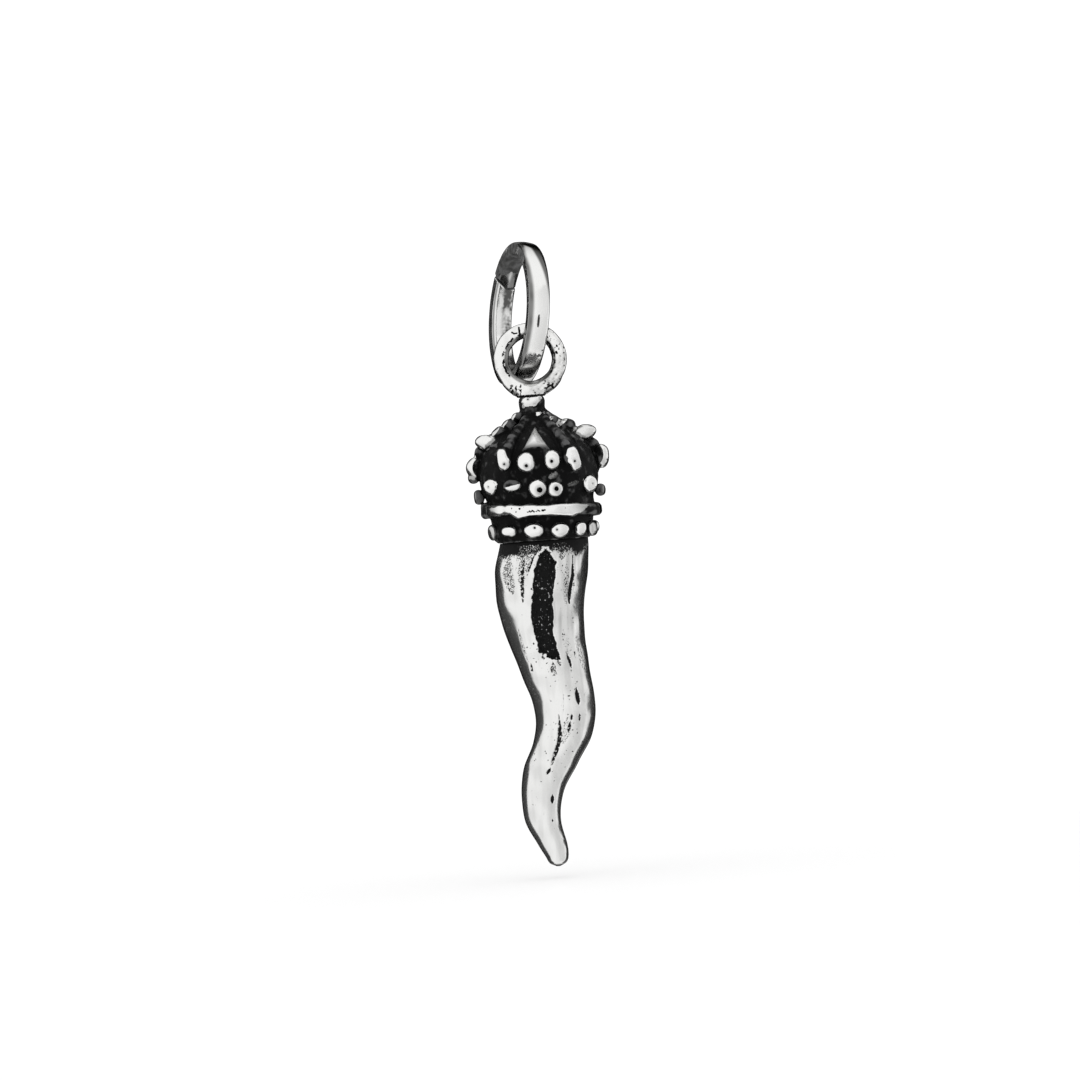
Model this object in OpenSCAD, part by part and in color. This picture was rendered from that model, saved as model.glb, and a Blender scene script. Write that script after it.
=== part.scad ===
// Cornicello horn pendant: a wavy silver horn under a domed crown, hung by a cast loop from
// a slack jump ring. Millimetres. The origin is the top of the ring's hole, where a chain
// carries it. The crown's axis is vertical, +X is the viewer's right and -Y faces the viewer.

/* [Jump ring] */
// Outside diameter of the jump ring
ring_d = 10.3; // [9.5:0.1:13]
// Thickness of the ring's band, from its hole outwards
band_t = 1.05; // [0.8:0.05:1.4]
// Width of the ring's band, along the ring's own axis
band_w = 1.55; // [1:0.05:1.8]
// Radius of the band's rounded edges
band_edge_r = 0.32; // [0.1:0.02:0.39]
// Width of the saw cut where the ring is opened
cut_w = 0.1; // [0.05:0.01:0.25]
// How far the ring's face is turned away from the viewer, in degrees
ring_turn = 73; // [60:1:80]
// How far the ring's top leans to the right, in degrees
ring_lean = 7.6; // [0:0.1:12]

/* [Hanging loop] */
// Diameter of the wire that the loop is formed of
wire_d = 1.05; // [0.9:0.05:1.5]
// How far round from its lowest point the ring passes through the loop, in degrees
crossing_turn = 41.5; // [36:0.5:46]
// How far the ring passes under the middle of the loop's hole
crossing_drop = 0.28; // [0.1:0.01:0.35]
// How far the ring passes to the left of the middle of the loop's hole
crossing_left = 0.13; // [0:0.01:0.2]
// Play between the ring's band and the loop's hole
ring_play = 0.22; // [0.2:0.01:0.4]
// How far round the wire the loop's foot spreads to either side, in degrees
foot_spread = 48; // [36:1:56]
// Diameter of the peg under the foot
peg_d = 0.9; // [0.6:0.05:1.2]
// Length of the peg under the foot
peg_l = 1.5; // [0.8:0.05:2.2]

/* [Crown] */
// Diameter over the knees of the crown's arches
crown_d = 10.2; // [9:0.1:12]
// Diameter of the crown's rim band
rim_d = 8.5; // [7.8:0.1:9.2]
// Height of the crown under its collar bead
crown_h = 9; // [8:0.1:10.5]
// Diameter of the collar bead under the loop
collar_d = 1.9; // [1.6:0.05:2.4]
// Height of the collar bead
collar_h = 1.3; // [1.1:0.05:1.8]
// Thickness of an arch
arch_d = 0.75; // [0.6:0.05:1.1]
// Number of arches and of the panels between them
arch_count = 6; // [4:2:8]
// Thickness of the flat panels between the arches
panel_t = 0.4; // [0.3:0.05:0.6]
// Diameter of the round beads that stand between the arches
stud_d = 1.2; // [0.9:0.05:1.5]
// Diameter of the larger beads on the circlet
circlet_bead_d = 1.15; // [0.8:0.05:1.4]
// Number of beads round the crown's base
base_count = 12; // [10:1:14]
// Width of a bead at the crown's base
base_bead_w = 1.25; // [0.9:0.05:1.5]

/* [Horn] */
// Length of the horn under the crown
horn_l = 22.75; // [18:0.25:28]
// Width of the horn at its widest
horn_w = 6.6; // [5.6:0.1:7.2]
// Depth of the horn from front to back, as a share of its width
horn_depth = 0.92; // [0.75:0.01:1]
// Depth of the long recess in the horn's front
recess_depth = 0.3; // [0.1:0.05:0.6]
// Half width of the long recess, in degrees round the horn
recess_half = 17; // [12:1:24]
// Diameter of the tenon that seats the horn in the crown
tenon_d = 4.4; // [3.2:0.1:5]
// Length of the tenon
tenon_l = 2.6; // [1.5:0.1:3.4]

/* [Fits] */
// Gap between pieces that are seated in each other
seat_gap = 0.06; // [0.04:0.01:0.12]

/* [Hidden] */

round_fn = 36;
wire_fn = 28;
bead_fn = 10;
rib_fn = 8;
overlap = 0.2;

// Columns of the tables of sections: down and along are shares of the piece's height or
// length, out and sway and half are shares of its radius or width
DOWN = 0;
OUT = 1;
WIDE = 2;
TALL = 3;
TILT = 4;

ring_r = ring_d / 2;
band_mid_r = ring_r - band_t / 2;
hole_r = ring_r - band_t;
loop_hole_d = norm([band_w, band_t]) + wire_d * tan(crossing_turn) + ring_play;
loop_mid_r = (loop_hole_d + wire_d) / 2;
loop_r = loop_mid_r + wire_d / 2;

// The ring's own directions: across its face, up its face
ring_across = [cos(ring_turn) * cos(ring_lean), -sin(ring_turn), -cos(ring_turn) * sin(ring_lean)];
ring_up = [sin(ring_lean), 0, cos(ring_lean)];
ring_centre = -hole_r * ring_up;
crossing = ring_centre + band_mid_r * (sin(crossing_turn) * ring_across - cos(crossing_turn) * ring_up);
loop_centre = crossing + [crossing_left, 0, crossing_drop];
cut_angle = 60;
cut_skew = 24;

// Heights on the pendant, measured down from the middle of the loop's hole
foot_ball_d = wire_d * 0.5;
foot_lip_h = wire_d * 0.15;
foot_lip_d = collar_d * 1.08;
foot_fn = 14;
foot_low = loop_r;
collar_top = foot_low + seat_gap;
dome_top = collar_top + collar_h - overlap;
crown_low = dome_top + crown_h;
crown_r = crown_d / 2;
rim_r = rim_d / 2;
knee_r = crown_r - arch_d / 2;
arch_step = 360 / arch_count;
arch_turn = arch_step / 2;
side_turn = 90;

// Where the raised work stands: rows are shares of the crown's height under the dome's top,
// and turns are degrees round the crown from the middle of a panel
knee_rows = [0.33, 0.43];
panel_top_row = 0.115;
panel_low_row = 0.29;
panel_half_turn = 13;
stud_row = 0.375;
stud_half_turn = 11.5;
circlet_row = 0.58;
bead_row = 0.91;
bead_row_turn = -10;

// How far a bead's middle stands out of the body, and how deep, tall and wide it is
stud_out = stud_d * 0.12;
stud_deep = stud_d * 0.8;
circlet_out = circlet_bead_d * 0.08;
circlet_deep = circlet_bead_d * 0.8;
base_bead_out = base_bead_w * 0.06;
base_bead_h = base_bead_w * 0.78;
base_bead_deep = base_bead_w * 0.75;
collar_ball_h = collar_h * 1.25;

// Outline of the crown's body: DOWN from the dome's top, OUT as a share of the rim's radius
BODY = [
    [0.00, 0.19], [0.05, 0.25], [0.10, 0.37], [0.16, 0.57], [0.22, 0.74], [0.29, 0.88],
    [0.37, 0.96], [0.45, 0.985], [0.53, 0.98], [0.60, 0.95], [0.65, 0.90], [0.69, 0.875],
    [0.705, 0.96], [0.73, 1.00], [0.795, 1.00], [0.82, 0.96], [0.835, 0.84], [0.88, 0.83],
    [0.96, 0.84], [1.00, 0.80]
];

// Line of an arch: DOWN from the dome's top, OUT as a share of the knee's radius
ARCH = [
    [0.02, 0.15], [0.075, 0.28], [0.13, 0.47], [0.20, 0.69], [0.28, 0.84], [0.38, 0.92], [0.47, 0.90]
];

// Pearls on the two arches at the sides: DOWN, OUT as a share of the knee's radius, WIDE and
// TALL as shares of the crown's radius, TILT in degrees
PEARLS = [
    [0.030, 0.21, 0.12, 0.12, 0],
    [0.072, 0.34, 0.17, 0.14, 10],
    [0.135, 0.51, 0.23, 0.19, 15],
    [0.203, 0.745, 0.35, 0.20, 8]
];

// Beads on the circlet over half a turn: AZIMUTH, then SIZE as a share of the larger bead
AZIMUTH = 0;
SIZE = 1;
CIRCLET = [[-86, 0.75], [-55, 0.95], [-27, 0.7], [-3, 1.0], [15, 0.88], [58, 0.98]];

// Sections of the horn: ALONG its length, SWAY of its middle and HALF its width as shares
// of the horn's width
ALONG = 0;
SWAY = 1;
HALF = 2;
SECTIONS = [
    [0.00, 0.000, 0.470], [0.09, -0.045, 0.500], [0.20, -0.078, 0.460], [0.31, -0.040, 0.406],
    [0.43, 0.042, 0.357], [0.53, 0.092, 0.324], [0.61, 0.040, 0.309], [0.69, -0.106, 0.290],
    [0.77, -0.212, 0.228], [0.85, -0.231, 0.193], [0.93, -0.150, 0.156], [0.97, -0.108, 0.122],
    [0.99, -0.102, 0.088], [1.00, -0.102, 0.020]
];
horn_rings = 40;
horn_sides = 32;
tip_crowding = 1.3;
recess_start = 0.035;
recess_end = 0.36;

// The slope of a column at a row of a table
function slope(table, i, col) =
    let (a = max(i - 1, 0), b = min(i + 1, len(table) - 1))
    (table[b][col] - table[a][col]) / (table[b][ALONG] - table[a][ALONG]);

// The row of a table that a share falls after
function row_of(table, s, i = 0) =
    i >= len(table) - 2 || s < table[i + 1][ALONG] ? i : row_of(table, s, i + 1);

// A column of a table at a share between its rows, on a smooth curve through them
function smooth(table, s, col) =
    let (
        i = row_of(table, s),
        span = table[i + 1][ALONG] - table[i][ALONG],
        t = (s - table[i][ALONG]) / span,
        a = table[i][col], b = table[i + 1][col],
        da = slope(table, i, col) * span, db = slope(table, i + 1, col) * span
    )
    (2 * t^3 - 3 * t^2 + 1) * a + (t^3 - 2 * t^2 + t) * da + (3 * t^2 - 2 * t^3) * b + (t^3 - t^2) * db;

// A step from 0 to 1 between two values
function ramp(v, low, high) =
    let (t = min(max((v - low) / (high - low), 0), 1)) t * t * (3 - 2 * t);

// Radius of the crown's body at a share of its height
function body_r(down) = rim_r * lookup(down, BODY);

// Moves what is drawn about the middle of the loop's hole to its place
module on_pendant() {
    translate(loop_centre) children();
}

// The section of the ring's band, with rounded edges
module band_section() {
    square([band_t, band_w - 2 * band_edge_r], center = true);
    square([band_t - 2 * band_edge_r, band_w], center = true);
    for (x = [-1, 1], y = [-1, 1])
        translate([x * (band_t / 2 - band_edge_r), y * (band_w / 2 - band_edge_r)])
            circle(r = band_edge_r, $fn = wire_fn);
}

// The jump ring, sawn through on its far limb
module jump_ring() {
    color("silver")
    translate(ring_centre)
    rotate([0, ring_lean, 0])
    rotate([0, 0, -ring_turn])
    rotate([90, 0, 0])
    difference() {
        rotate_extrude($fn = round_fn * 2)
            translate([band_mid_r, 0]) band_section();
        rotate([0, 0, 90 + cut_angle])
            translate([band_mid_r, 0, 0])
                rotate([cut_skew, 0, 0])
                    cube([band_t * 2, cut_w, band_w * 2], center = true);
    }
}

// The eye that the ring passes through, its flared foot and its peg
module hanging_loop() {
    color("silver")
    on_pendant() {
        rotate([90, 0, 0])
            rotate_extrude($fn = round_fn)
                translate([loop_mid_r, 0]) circle(d = wire_d, $fn = wire_fn);
        for (side = [-1, 1])
            hull() {
                rotate([0, side * foot_spread, 0])
                    translate([0, 0, foot_ball_d / 2 - loop_r]) sphere(d = foot_ball_d, $fn = foot_fn);
                translate([0, 0, -foot_low]) cylinder(d = foot_lip_d, h = foot_lip_h, $fn = wire_fn);
            }
        translate([0, 0, -foot_low - peg_l]) cylinder(d = peg_d, h = peg_l + overlap, $fn = wire_fn);
    }
}

// A bead of the crown at an azimuth, with its middle so far down and out
module bead(azimuth, down, out, wide, tall, deep, tilt = 0, sides = bead_fn) {
    rotate([0, 0, azimuth])
        translate([0, -out, -down])
            rotate([tilt, 0, 0])
                scale([wide, deep, tall]) sphere(d = 1, $fn = sides);
}

// An arch, from the collar over the dome to its knee
module arch(azimuth) {
    for (i = [0 : len(ARCH) - 2])
        hull()
            for (row = [ARCH[i], ARCH[i + 1]])
                bead(azimuth, dome_top + row[DOWN] * crown_h, row[OUT] * knee_r,
                    arch_d, arch_d, arch_d, sides = rib_fn);
}

// The upright pad at an arch's knee
module knee(azimuth) {
    hull()
        for (down = knee_rows)
            bead(azimuth, dome_top + down * crown_h, knee_r, arch_d, arch_d, arch_d);
}

// Pearls that stand on an arch, growing towards its knee
module pearls(azimuth) {
    for (p = PEARLS)
        bead(
            azimuth, dome_top + p[DOWN] * crown_h, p[OUT] * knee_r,
            p[TALL] * crown_r, p[TALL] * crown_r, p[WIDE] * crown_r, p[TILT]
        );
}

// A flat panel that leans on the dome between two arches
module panel(azimuth) {
    hull() {
        bead(azimuth, dome_top + panel_top_row * crown_h, body_r(panel_top_row),
            panel_t, panel_t, panel_t, sides = rib_fn);
        for (side = [-1, 1])
            bead(azimuth + panel_half_turn * side, dome_top + panel_low_row * crown_h,
                body_r(panel_low_row), panel_t, panel_t, panel_t, sides = rib_fn);
    }
}

// A pair of round studs under the front or the back panel
module studs(azimuth) {
    for (side = [-1, 1])
        bead(azimuth + stud_half_turn * side, dome_top + stud_row * crown_h,
            body_r(stud_row) + stud_out, stud_d, stud_d, stud_deep);
}

// The circlet's beads, the same on the front and the back
module circlet() {
    for (half = [0, 180], c = CIRCLET)
        bead(half + c[AZIMUTH], dome_top + circlet_row * crown_h, body_r(circlet_row) + circlet_out,
            circlet_bead_d * c[SIZE], circlet_bead_d * c[SIZE], circlet_deep);
}

// The row of beads round the base
module base_row() {
    for (i = [0 : base_count - 1])
        bead(bead_row_turn + i * 360 / base_count, dome_top + bead_row * crown_h,
            body_r(bead_row) + base_bead_out, base_bead_w, base_bead_h, base_bead_deep);
}

// The crown's turned body with its collar bead
module crown_body() {
    rotate_extrude($fn = round_fn)
        polygon(concat(
            [[0, -dome_top]],
            [for (row = BODY) [row[OUT] * rim_r, -dome_top - row[DOWN] * crown_h]],
            [[0, -crown_low]]
        ));
    translate([0, 0, -collar_top - collar_h / 2])
        intersection() {
            scale([collar_d, collar_d, collar_ball_h]) sphere(d = 1, $fn = wire_fn);
            cube([crown_d, crown_d, collar_h], center = true);
        }
}

// The crown, with the socket for the loop's peg and the one for the horn's tenon
module crown() {
    color("dimgray")
    on_pendant()
    difference() {
        union() {
            crown_body();
            for (i = [0 : arch_count - 1]) {
                arch(arch_turn + i * arch_step);
                knee(arch_turn + i * arch_step);
                panel(i * arch_step);
            }
            for (azimuth = [0, 180]) studs(azimuth);
            for (side = [-1, 1]) pearls(side * side_turn);
            circlet();
            base_row();
        }
        translate([0, 0, -foot_low - peg_l - seat_gap])
            cylinder(d = peg_d + 2 * seat_gap, h = peg_l + 2 * overlap, $fn = wire_fn);
        translate([0, 0, -crown_low - overlap])
            cylinder(d = tenon_d + 2 * seat_gap, h = tenon_l + seat_gap + overlap, $fn = round_fn);
    }
}

// How deep the front recess is at a share of the length and an angle round the horn
function recess(s, angle) =
    let (off = abs(angle - 270))
    recess_depth * (1 - ramp(off, recess_half * 0.6, recess_half))
        * ramp(s, recess_start, recess_start + 0.04) * (1 - ramp(s, recess_end - 0.05, recess_end));

// One section of the horn
function horn_section(s) =
    let (
        sway = horn_w * smooth(SECTIONS, s, SWAY),
        half = horn_w * smooth(SECTIONS, s, HALF)
    )
    [for (j = [0 : horn_sides - 1])
        let (angle = j * 360 / horn_sides, cut = recess(s, angle))
        [
            sway + (half - cut) * cos(angle),
            (half * horn_depth - cut) * sin(angle),
            -crown_low - seat_gap - s * horn_l
        ]];

// The horn and its tenon
module horn() {
    sections = [for (k = [0 : horn_rings]) horn_section(1 - (1 - k / horn_rings) ^ tip_crowding)];
    points = [for (section = sections, p = section) p];
    sides = [for (k = [0 : horn_rings - 1], j = [0 : horn_sides - 1])
        let (a = k * horn_sides + j, b = k * horn_sides + (j + 1) % horn_sides)
        each [[a, b, b + horn_sides], [a, b + horn_sides, a + horn_sides]]];
    top = [for (j = [horn_sides - 1 : -1 : 0]) j];
    tip = [for (j = [0 : horn_sides - 1]) horn_rings * horn_sides + j];
    color("silver")
    on_pendant() {
        polyhedron(points, concat(sides, [top, tip]));
        translate([0, 0, -crown_low - seat_gap - overlap])
            cylinder(d = tenon_d, h = tenon_l + overlap, $fn = round_fn);
    }
}

jump_ring();
hanging_loop();
crown();
horn();
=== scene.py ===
"""The finished look of a cornicello horn pendant: oxidised silver, polished on its high points.

Sizes are in millimetres in the part's own frame and become metres when a mesh is made.
The camera looks along +Y, so -Y is the front of the pendant.
"""

import logging
import math
from dataclasses import dataclass, field
from enum import Enum

import bpy
import numpy as np
from mathutils import Matrix, Vector


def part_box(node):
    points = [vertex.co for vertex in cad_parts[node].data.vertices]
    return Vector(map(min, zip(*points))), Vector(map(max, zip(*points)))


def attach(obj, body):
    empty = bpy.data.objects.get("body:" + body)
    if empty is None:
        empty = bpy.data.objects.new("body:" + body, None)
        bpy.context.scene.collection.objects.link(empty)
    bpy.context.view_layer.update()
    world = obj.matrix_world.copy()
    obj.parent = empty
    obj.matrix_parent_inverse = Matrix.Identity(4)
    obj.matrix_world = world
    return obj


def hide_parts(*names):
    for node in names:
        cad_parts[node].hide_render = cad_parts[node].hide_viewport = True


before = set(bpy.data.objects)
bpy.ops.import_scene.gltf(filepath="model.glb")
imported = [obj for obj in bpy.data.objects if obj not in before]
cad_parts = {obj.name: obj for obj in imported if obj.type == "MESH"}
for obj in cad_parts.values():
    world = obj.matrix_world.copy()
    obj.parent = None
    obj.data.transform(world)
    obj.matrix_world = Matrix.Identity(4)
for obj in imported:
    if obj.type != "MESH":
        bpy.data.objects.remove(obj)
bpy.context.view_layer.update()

log = logging.getLogger("pendant")

MM = 0.001
SEED = 11
UP = np.array([0.0, 0.0, 1.0])
WHITE = (1.0, 1.0, 1.0, 1.0)

Array = np.ndarray
Socket = bpy.types.NodeSocket


def smoothstep(value: Array, low: float, high: float) -> Array:
    """Rises smoothly from 0 at low to 1 at high.

    Args:
        value: The values to map.
        low: Where the rise starts.
        high: Where the rise ends.

    Returns:
        Values from 0 to 1.
    """
    share = np.clip((value - low) / (high - low), 0.0, 1.0)
    return share * share * (3.0 - 2.0 * share)


def fall(value: Array, low: float, high: float) -> Array:
    """Falls smoothly from 1 at low to 0 at high."""
    return smoothstep(-value, -high, -low)


def window(value: Array, *edges: float) -> Array:
    """Rises from 0 to 1 between the first two edges and falls back between the last two."""
    return smoothstep(value, *edges[:2]) * fall(value, *edges[2:])


def blot(power: int, *spans: tuple[Array, float, float]) -> Array:
    """Gives a mark that is 1 in its middle and fades out.

    Args:
        power: 2 for a soft mark, 4 for one with a clear edge.
        spans: For each direction, the values, the mark's middle and half its width.

    Returns:
        Values from 0 to 1.
    """
    return np.exp(-sum(((value - middle) / half) ** power for value, middle, half in spans))


def table_at(value: Array, rows: list | tuple, column: int = 1) -> Array:
    """Reads a column of a table between its rows, which are ordered by their first column."""
    table = np.array(rows)
    return np.interp(value, table[:, 0], table[:, column])


def unit(vector: Array) -> Array:
    """Gives a vector's direction."""
    return vector / np.linalg.norm(vector)


@dataclass(frozen=True)
class Wobble:
    """A slow random unevenness made of a few waves.

    Attributes:
        amount: Height of the unevenness.
        size: Rough size of one lump.
        seed: Seed of the waves.
        waves: Number of waves.
    """

    amount: float
    size: float
    seed: int = SEED
    waves: int = 18

    def at(self, points: Array) -> Array:
        """Gives the unevenness at points.

        Args:
            points: An array whose last axis holds x, y and z.

        Returns:
            One value a point.
        """
        rng = np.random.default_rng(self.seed)
        total = np.zeros(points.shape[:-1])
        for _ in range(self.waves):
            way = unit(rng.normal(size=3))
            pitch = 2 * math.pi / (self.size * rng.uniform(0.7, 1.8))
            total += np.sin(points @ (way * pitch) + rng.uniform(0, 2 * math.pi))
        return total * self.amount / math.sqrt(self.waves / 2)


def blend_min(a: Array, b: Array, fillet: float) -> Array:
    """Joins two distance fields with a fillet.

    Args:
        a: The first field.
        b: The second field.
        fillet: Radius of the fillet between them.

    Returns:
        The joined field.
    """
    near = np.clip(fillet - np.abs(a - b), 0.0, None)
    return np.minimum(a, b) - near * near / (4.0 * fillet)


def rounded_bar(a: Array, b: Array, half: tuple[float, float], corner: float) -> Array:
    """Gives the distance of places from a bar's section with rounded corners.

    Args:
        a: Distance of the places from its middle, one way.
        b: The same, the other way.
        half: Half its size, each way.
        corner: Radius of the corners.

    Returns:
        Distances, negative inside.
    """
    a, b = np.abs(a) - (half[0] - corner), np.abs(b) - (half[1] - corner)
    outside = np.hypot(np.clip(a, 0, None), np.clip(b, 0, None))
    return outside + np.clip(np.maximum(a, b), None, 0) - corner


def from_line(here: Array, a: Array, b: Array) -> tuple[Array, Array]:
    """Sets places against a straight line.

    Args:
        here: The places.
        a: The line's start.
        b: The line's end.

    Returns:
        How far along the line they lie, from 0 to 1, and how far from it.
    """
    way = b - a
    share = np.clip((here - a) @ way / max(way @ way, 1e-9), 0.0, 1.0)
    return share, np.linalg.norm(here - a - share[..., None] * way, axis=-1)


class Lump:
    """One form of a casting: a distance field and the share of it that is polished."""

    fillet: float = 0.1

    def distance(self, points: Array) -> Array:
        """Gives the distance of points from the form's surface.

        Args:
            points: An array whose last axis holds x, y and z.

        Returns:
            Distances, negative inside.
        """
        raise NotImplementedError

    def shine(self, points: Array) -> Array:
        """Gives how polished the form is at points on it.

        Args:
            points: An array of points.

        Returns:
            Values from 0 to 1.
        """
        return np.zeros(points.shape[:-1])

    def shade(self, points: Array) -> Array:
        """Gives how far painted shade and tarnished tone darken the polished part of the form at points on
        it.

        Args:
            points: An array of points.

        Returns:
            Values from 0 to 1.
        """
        return np.zeros(points.shape[:-1])

    def reach(self) -> tuple[Array, Array]:
        """Gives the corners of the box that the form lies in."""
        raise NotImplementedError

    def near(self, points: Array, margin: float) -> Array:
        """Gives which points lie within a margin of the form's box."""
        low, high = self.reach()
        return np.all((points > low - margin) & (points < high + margin), axis=-1)


@dataclass
class Turned(Lump):
    """A form turned about the vertical axis through a centre.

    Attributes:
        centre: A point on the axis.
        rows: Rows of height and radius, from the top down.
    """

    centre: Array
    rows: list[tuple[float, float]]
    fillet: float = 0.1

    def __post_init__(self) -> None:
        """Draws the smooth profile that the rows stand for."""
        rows = np.array(self.rows)[::-1]
        self._z = np.linspace(rows[0, 0], rows[-1, 0], 400)
        radius = np.interp(self._z, rows[:, 0], rows[:, 1])
        weights = np.hanning(15)
        padded = np.pad(radius, len(weights) // 2, mode="edge")
        self._r = np.convolve(padded, weights / weights.sum(), mode="valid")

    def distance(self, points: Array) -> Array:
        """Gives the distance of points from the turned surface.

        Args:
            points: An array whose last axis holds x, y and z.

        Returns:
            Distances, negative inside.
        """
        offset = points - self.centre
        rho = np.hypot(offset[..., 0], offset[..., 1])
        radius = np.interp(offset[..., 2], self._z, self._r)
        slope = np.interp(offset[..., 2], self._z, np.gradient(self._r, self._z))
        side = (rho - radius) / np.sqrt(1.0 + slope * slope)
        ends = np.maximum(offset[..., 2] - self._z[-1], self._z[0] - offset[..., 2])
        return np.maximum(side, ends)

    def reach(self) -> tuple[Array, Array]:
        """Gives the corners of the box that the turned form lies in.

        Returns:
            The lowest and the highest corner.
        """
        wide = self._r.max()
        low = self.centre + np.array([-wide, -wide, self._z[0]])
        high = self.centre + np.array([wide, wide, self._z[-1]])
        return low, high


@dataclass
class Band(Lump):
    """The rim band, rubbed bright along its front and its back.

    Attributes:
        centre: A point on the crown's axis.
        radius: Outer radius of the band.
        deep: How far the band goes in from its outer radius.
        edges: Rows of azimuth and of the heights of the bright part's upper and lower edge.
        ends: The azimuths between which it is bright.
        pits: Rows of azimuth, height and radius of small pits.
        corner: Radius of its rounded edges.
        lip: How far the metal goes on past the bright part.
        skin: How far in the outer face counts as the front.
        pit_deep: Depth of the pits.
        slant: How far its bright part's right end leans, in degrees of azimuth.
    """

    centre: Array
    radius: float
    deep: float
    edges: list[tuple[float, float, float]]
    ends: tuple[float, float]
    pits: list[tuple[float, float, float]]
    corner: float = 0.33
    lip: float = 0.06
    skin: float = 0.3
    pit_deep: float = 0.06
    slant: float = 14.0
    fillet: float = 0.08

    def _place(self, points: Array) -> tuple[Array, ...]:
        """Gives the azimuth of points, their distance from the axis, their height and the edges there.

        Args:
            points: An array whose last axis holds x, y and z.

        Returns:
            The five values.
        """
        off = points - self.centre
        turn = np.degrees(np.arctan2(off[..., 0], -off[..., 1]))
        folded = np.where(np.abs(turn) > 90, np.sign(turn) * 180 - turn, turn)
        high, low = (table_at(folded, self.edges, k) for k in (1, 2))
        return folded, np.hypot(off[..., 0], off[..., 1]), off[..., 2], high, low

    def _pit_gaps(self, turn: Array, z: Array) -> list[tuple[Array, float]]:
        """Gives the distance of places from each pit, with the pit's radius.

        Args:
            turn: Azimuths of the places, in degrees.
            z: Heights of the places.

        Returns:
            A distance and a radius for each pit.
        """
        return [
            (np.hypot(np.radians(turn - at) * self.radius, z - level), size)
            for at, level, size in self.pits
        ]

    def distance(self, points: Array) -> Array:
        """Gives the distance of points from the band.

        Args:
            points: An array whose last axis holds x, y and z.

        Returns:
            Distances, negative inside.
        """
        turn, rho, z, high, low = self._place(points)
        high, low = high + self.lip, low - self.lip
        half = ((high - low) / 2, self.deep / 2)
        solid = rounded_bar(z - (high + low) / 2, rho - self.radius + self.deep / 2, half, self.corner)
        for gap, size in self._pit_gaps(turn, z):
            solid = solid + self.pit_deep * fall(gap, 0.0, size) * (rho > self.radius - self.skin)
        return solid

    def shine(self, points: Array) -> Array:
        """Gives how polished the band is.

        Args:
            points: An array whose last axis holds x, y and z.

        Returns:
            Values from 0 to 1.
        """
        turn, rho, z, high, low = self._place(points)
        last = self.ends[1] - self.slant * (high - z) / (high - low)
        glow = window(z, low - 0.03, low + 0.1, high - 0.1, high + 0.03)
        glow = glow * window(turn, self.ends[0] - 8, self.ends[0] + 3, last - 7, last + 5)
        for gap, size in self._pit_gaps(turn, z):
            glow = glow * smoothstep(gap, size * 0.5, size * 1.05)
        # A painted highlight along the band's right outline.
        painted_side_highlight = smoothstep(turn, 70, 74) * fall(np.abs(z - (high + low) / 2), 0.25, 0.42)
        outside = smoothstep(rho, self.radius - self.skin, self.radius - self.skin / 2)
        return np.maximum(glow, 0.9 * painted_side_highlight) * outside

    def shade(self, points: Array) -> Array:
        """Gives the painted shade on the band: darker towards its ends, where it turns away.

        Args:
            points: An array whose last axis holds x, y and z.

        Returns:
            Values from 0 to 1.
        """
        turn, _, z, high, _ = self._place(points)
        right = smoothstep(turn - 8.0 * (high - z), 24, 48)
        return 0.68 * smoothstep(-turn, 42, 62) + 0.6 * right

    def reach(self) -> tuple[Array, Array]:
        """Gives the corners of the box that the band lies in.

        Returns:
            The lowest and the highest corner.
        """
        wide, margin = self.radius, 0.1
        lows, highs = [row[2] for row in self.edges], [row[1] for row in self.edges]
        low = self.centre + np.array([-wide, -wide, min(lows) - margin])
        return low, self.centre + np.array([wide, wide, max(highs) + margin])


@dataclass
class Rib(Lump):
    """A round bar between two points, which may taper.

    Attributes:
        start: One end.
        end: The other end.
        start_r: Radius at the start.
        end_r: Radius at the end.
        polish: How polished it is.
    """

    start: Array
    end: Array
    start_r: float
    end_r: float
    polish: float = 0.0
    fillet: float = 0.2

    def distance(self, points: Array) -> Array:
        """Gives the distance of points from the bar."""
        share, gap = from_line(points, self.start, self.end)
        return gap - (self.start_r + (self.end_r - self.start_r) * share)

    def shine(self, points: Array) -> Array:
        """Gives how polished the bar is."""
        return self.polish * (self.distance(points) < 0.06)

    def reach(self) -> tuple[Array, Array]:
        """Gives the corners of the box that the bar lies in."""
        r = max(self.start_r, self.end_r)
        return np.minimum(self.start, self.end) - r, np.maximum(self.start, self.end) + r


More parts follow.
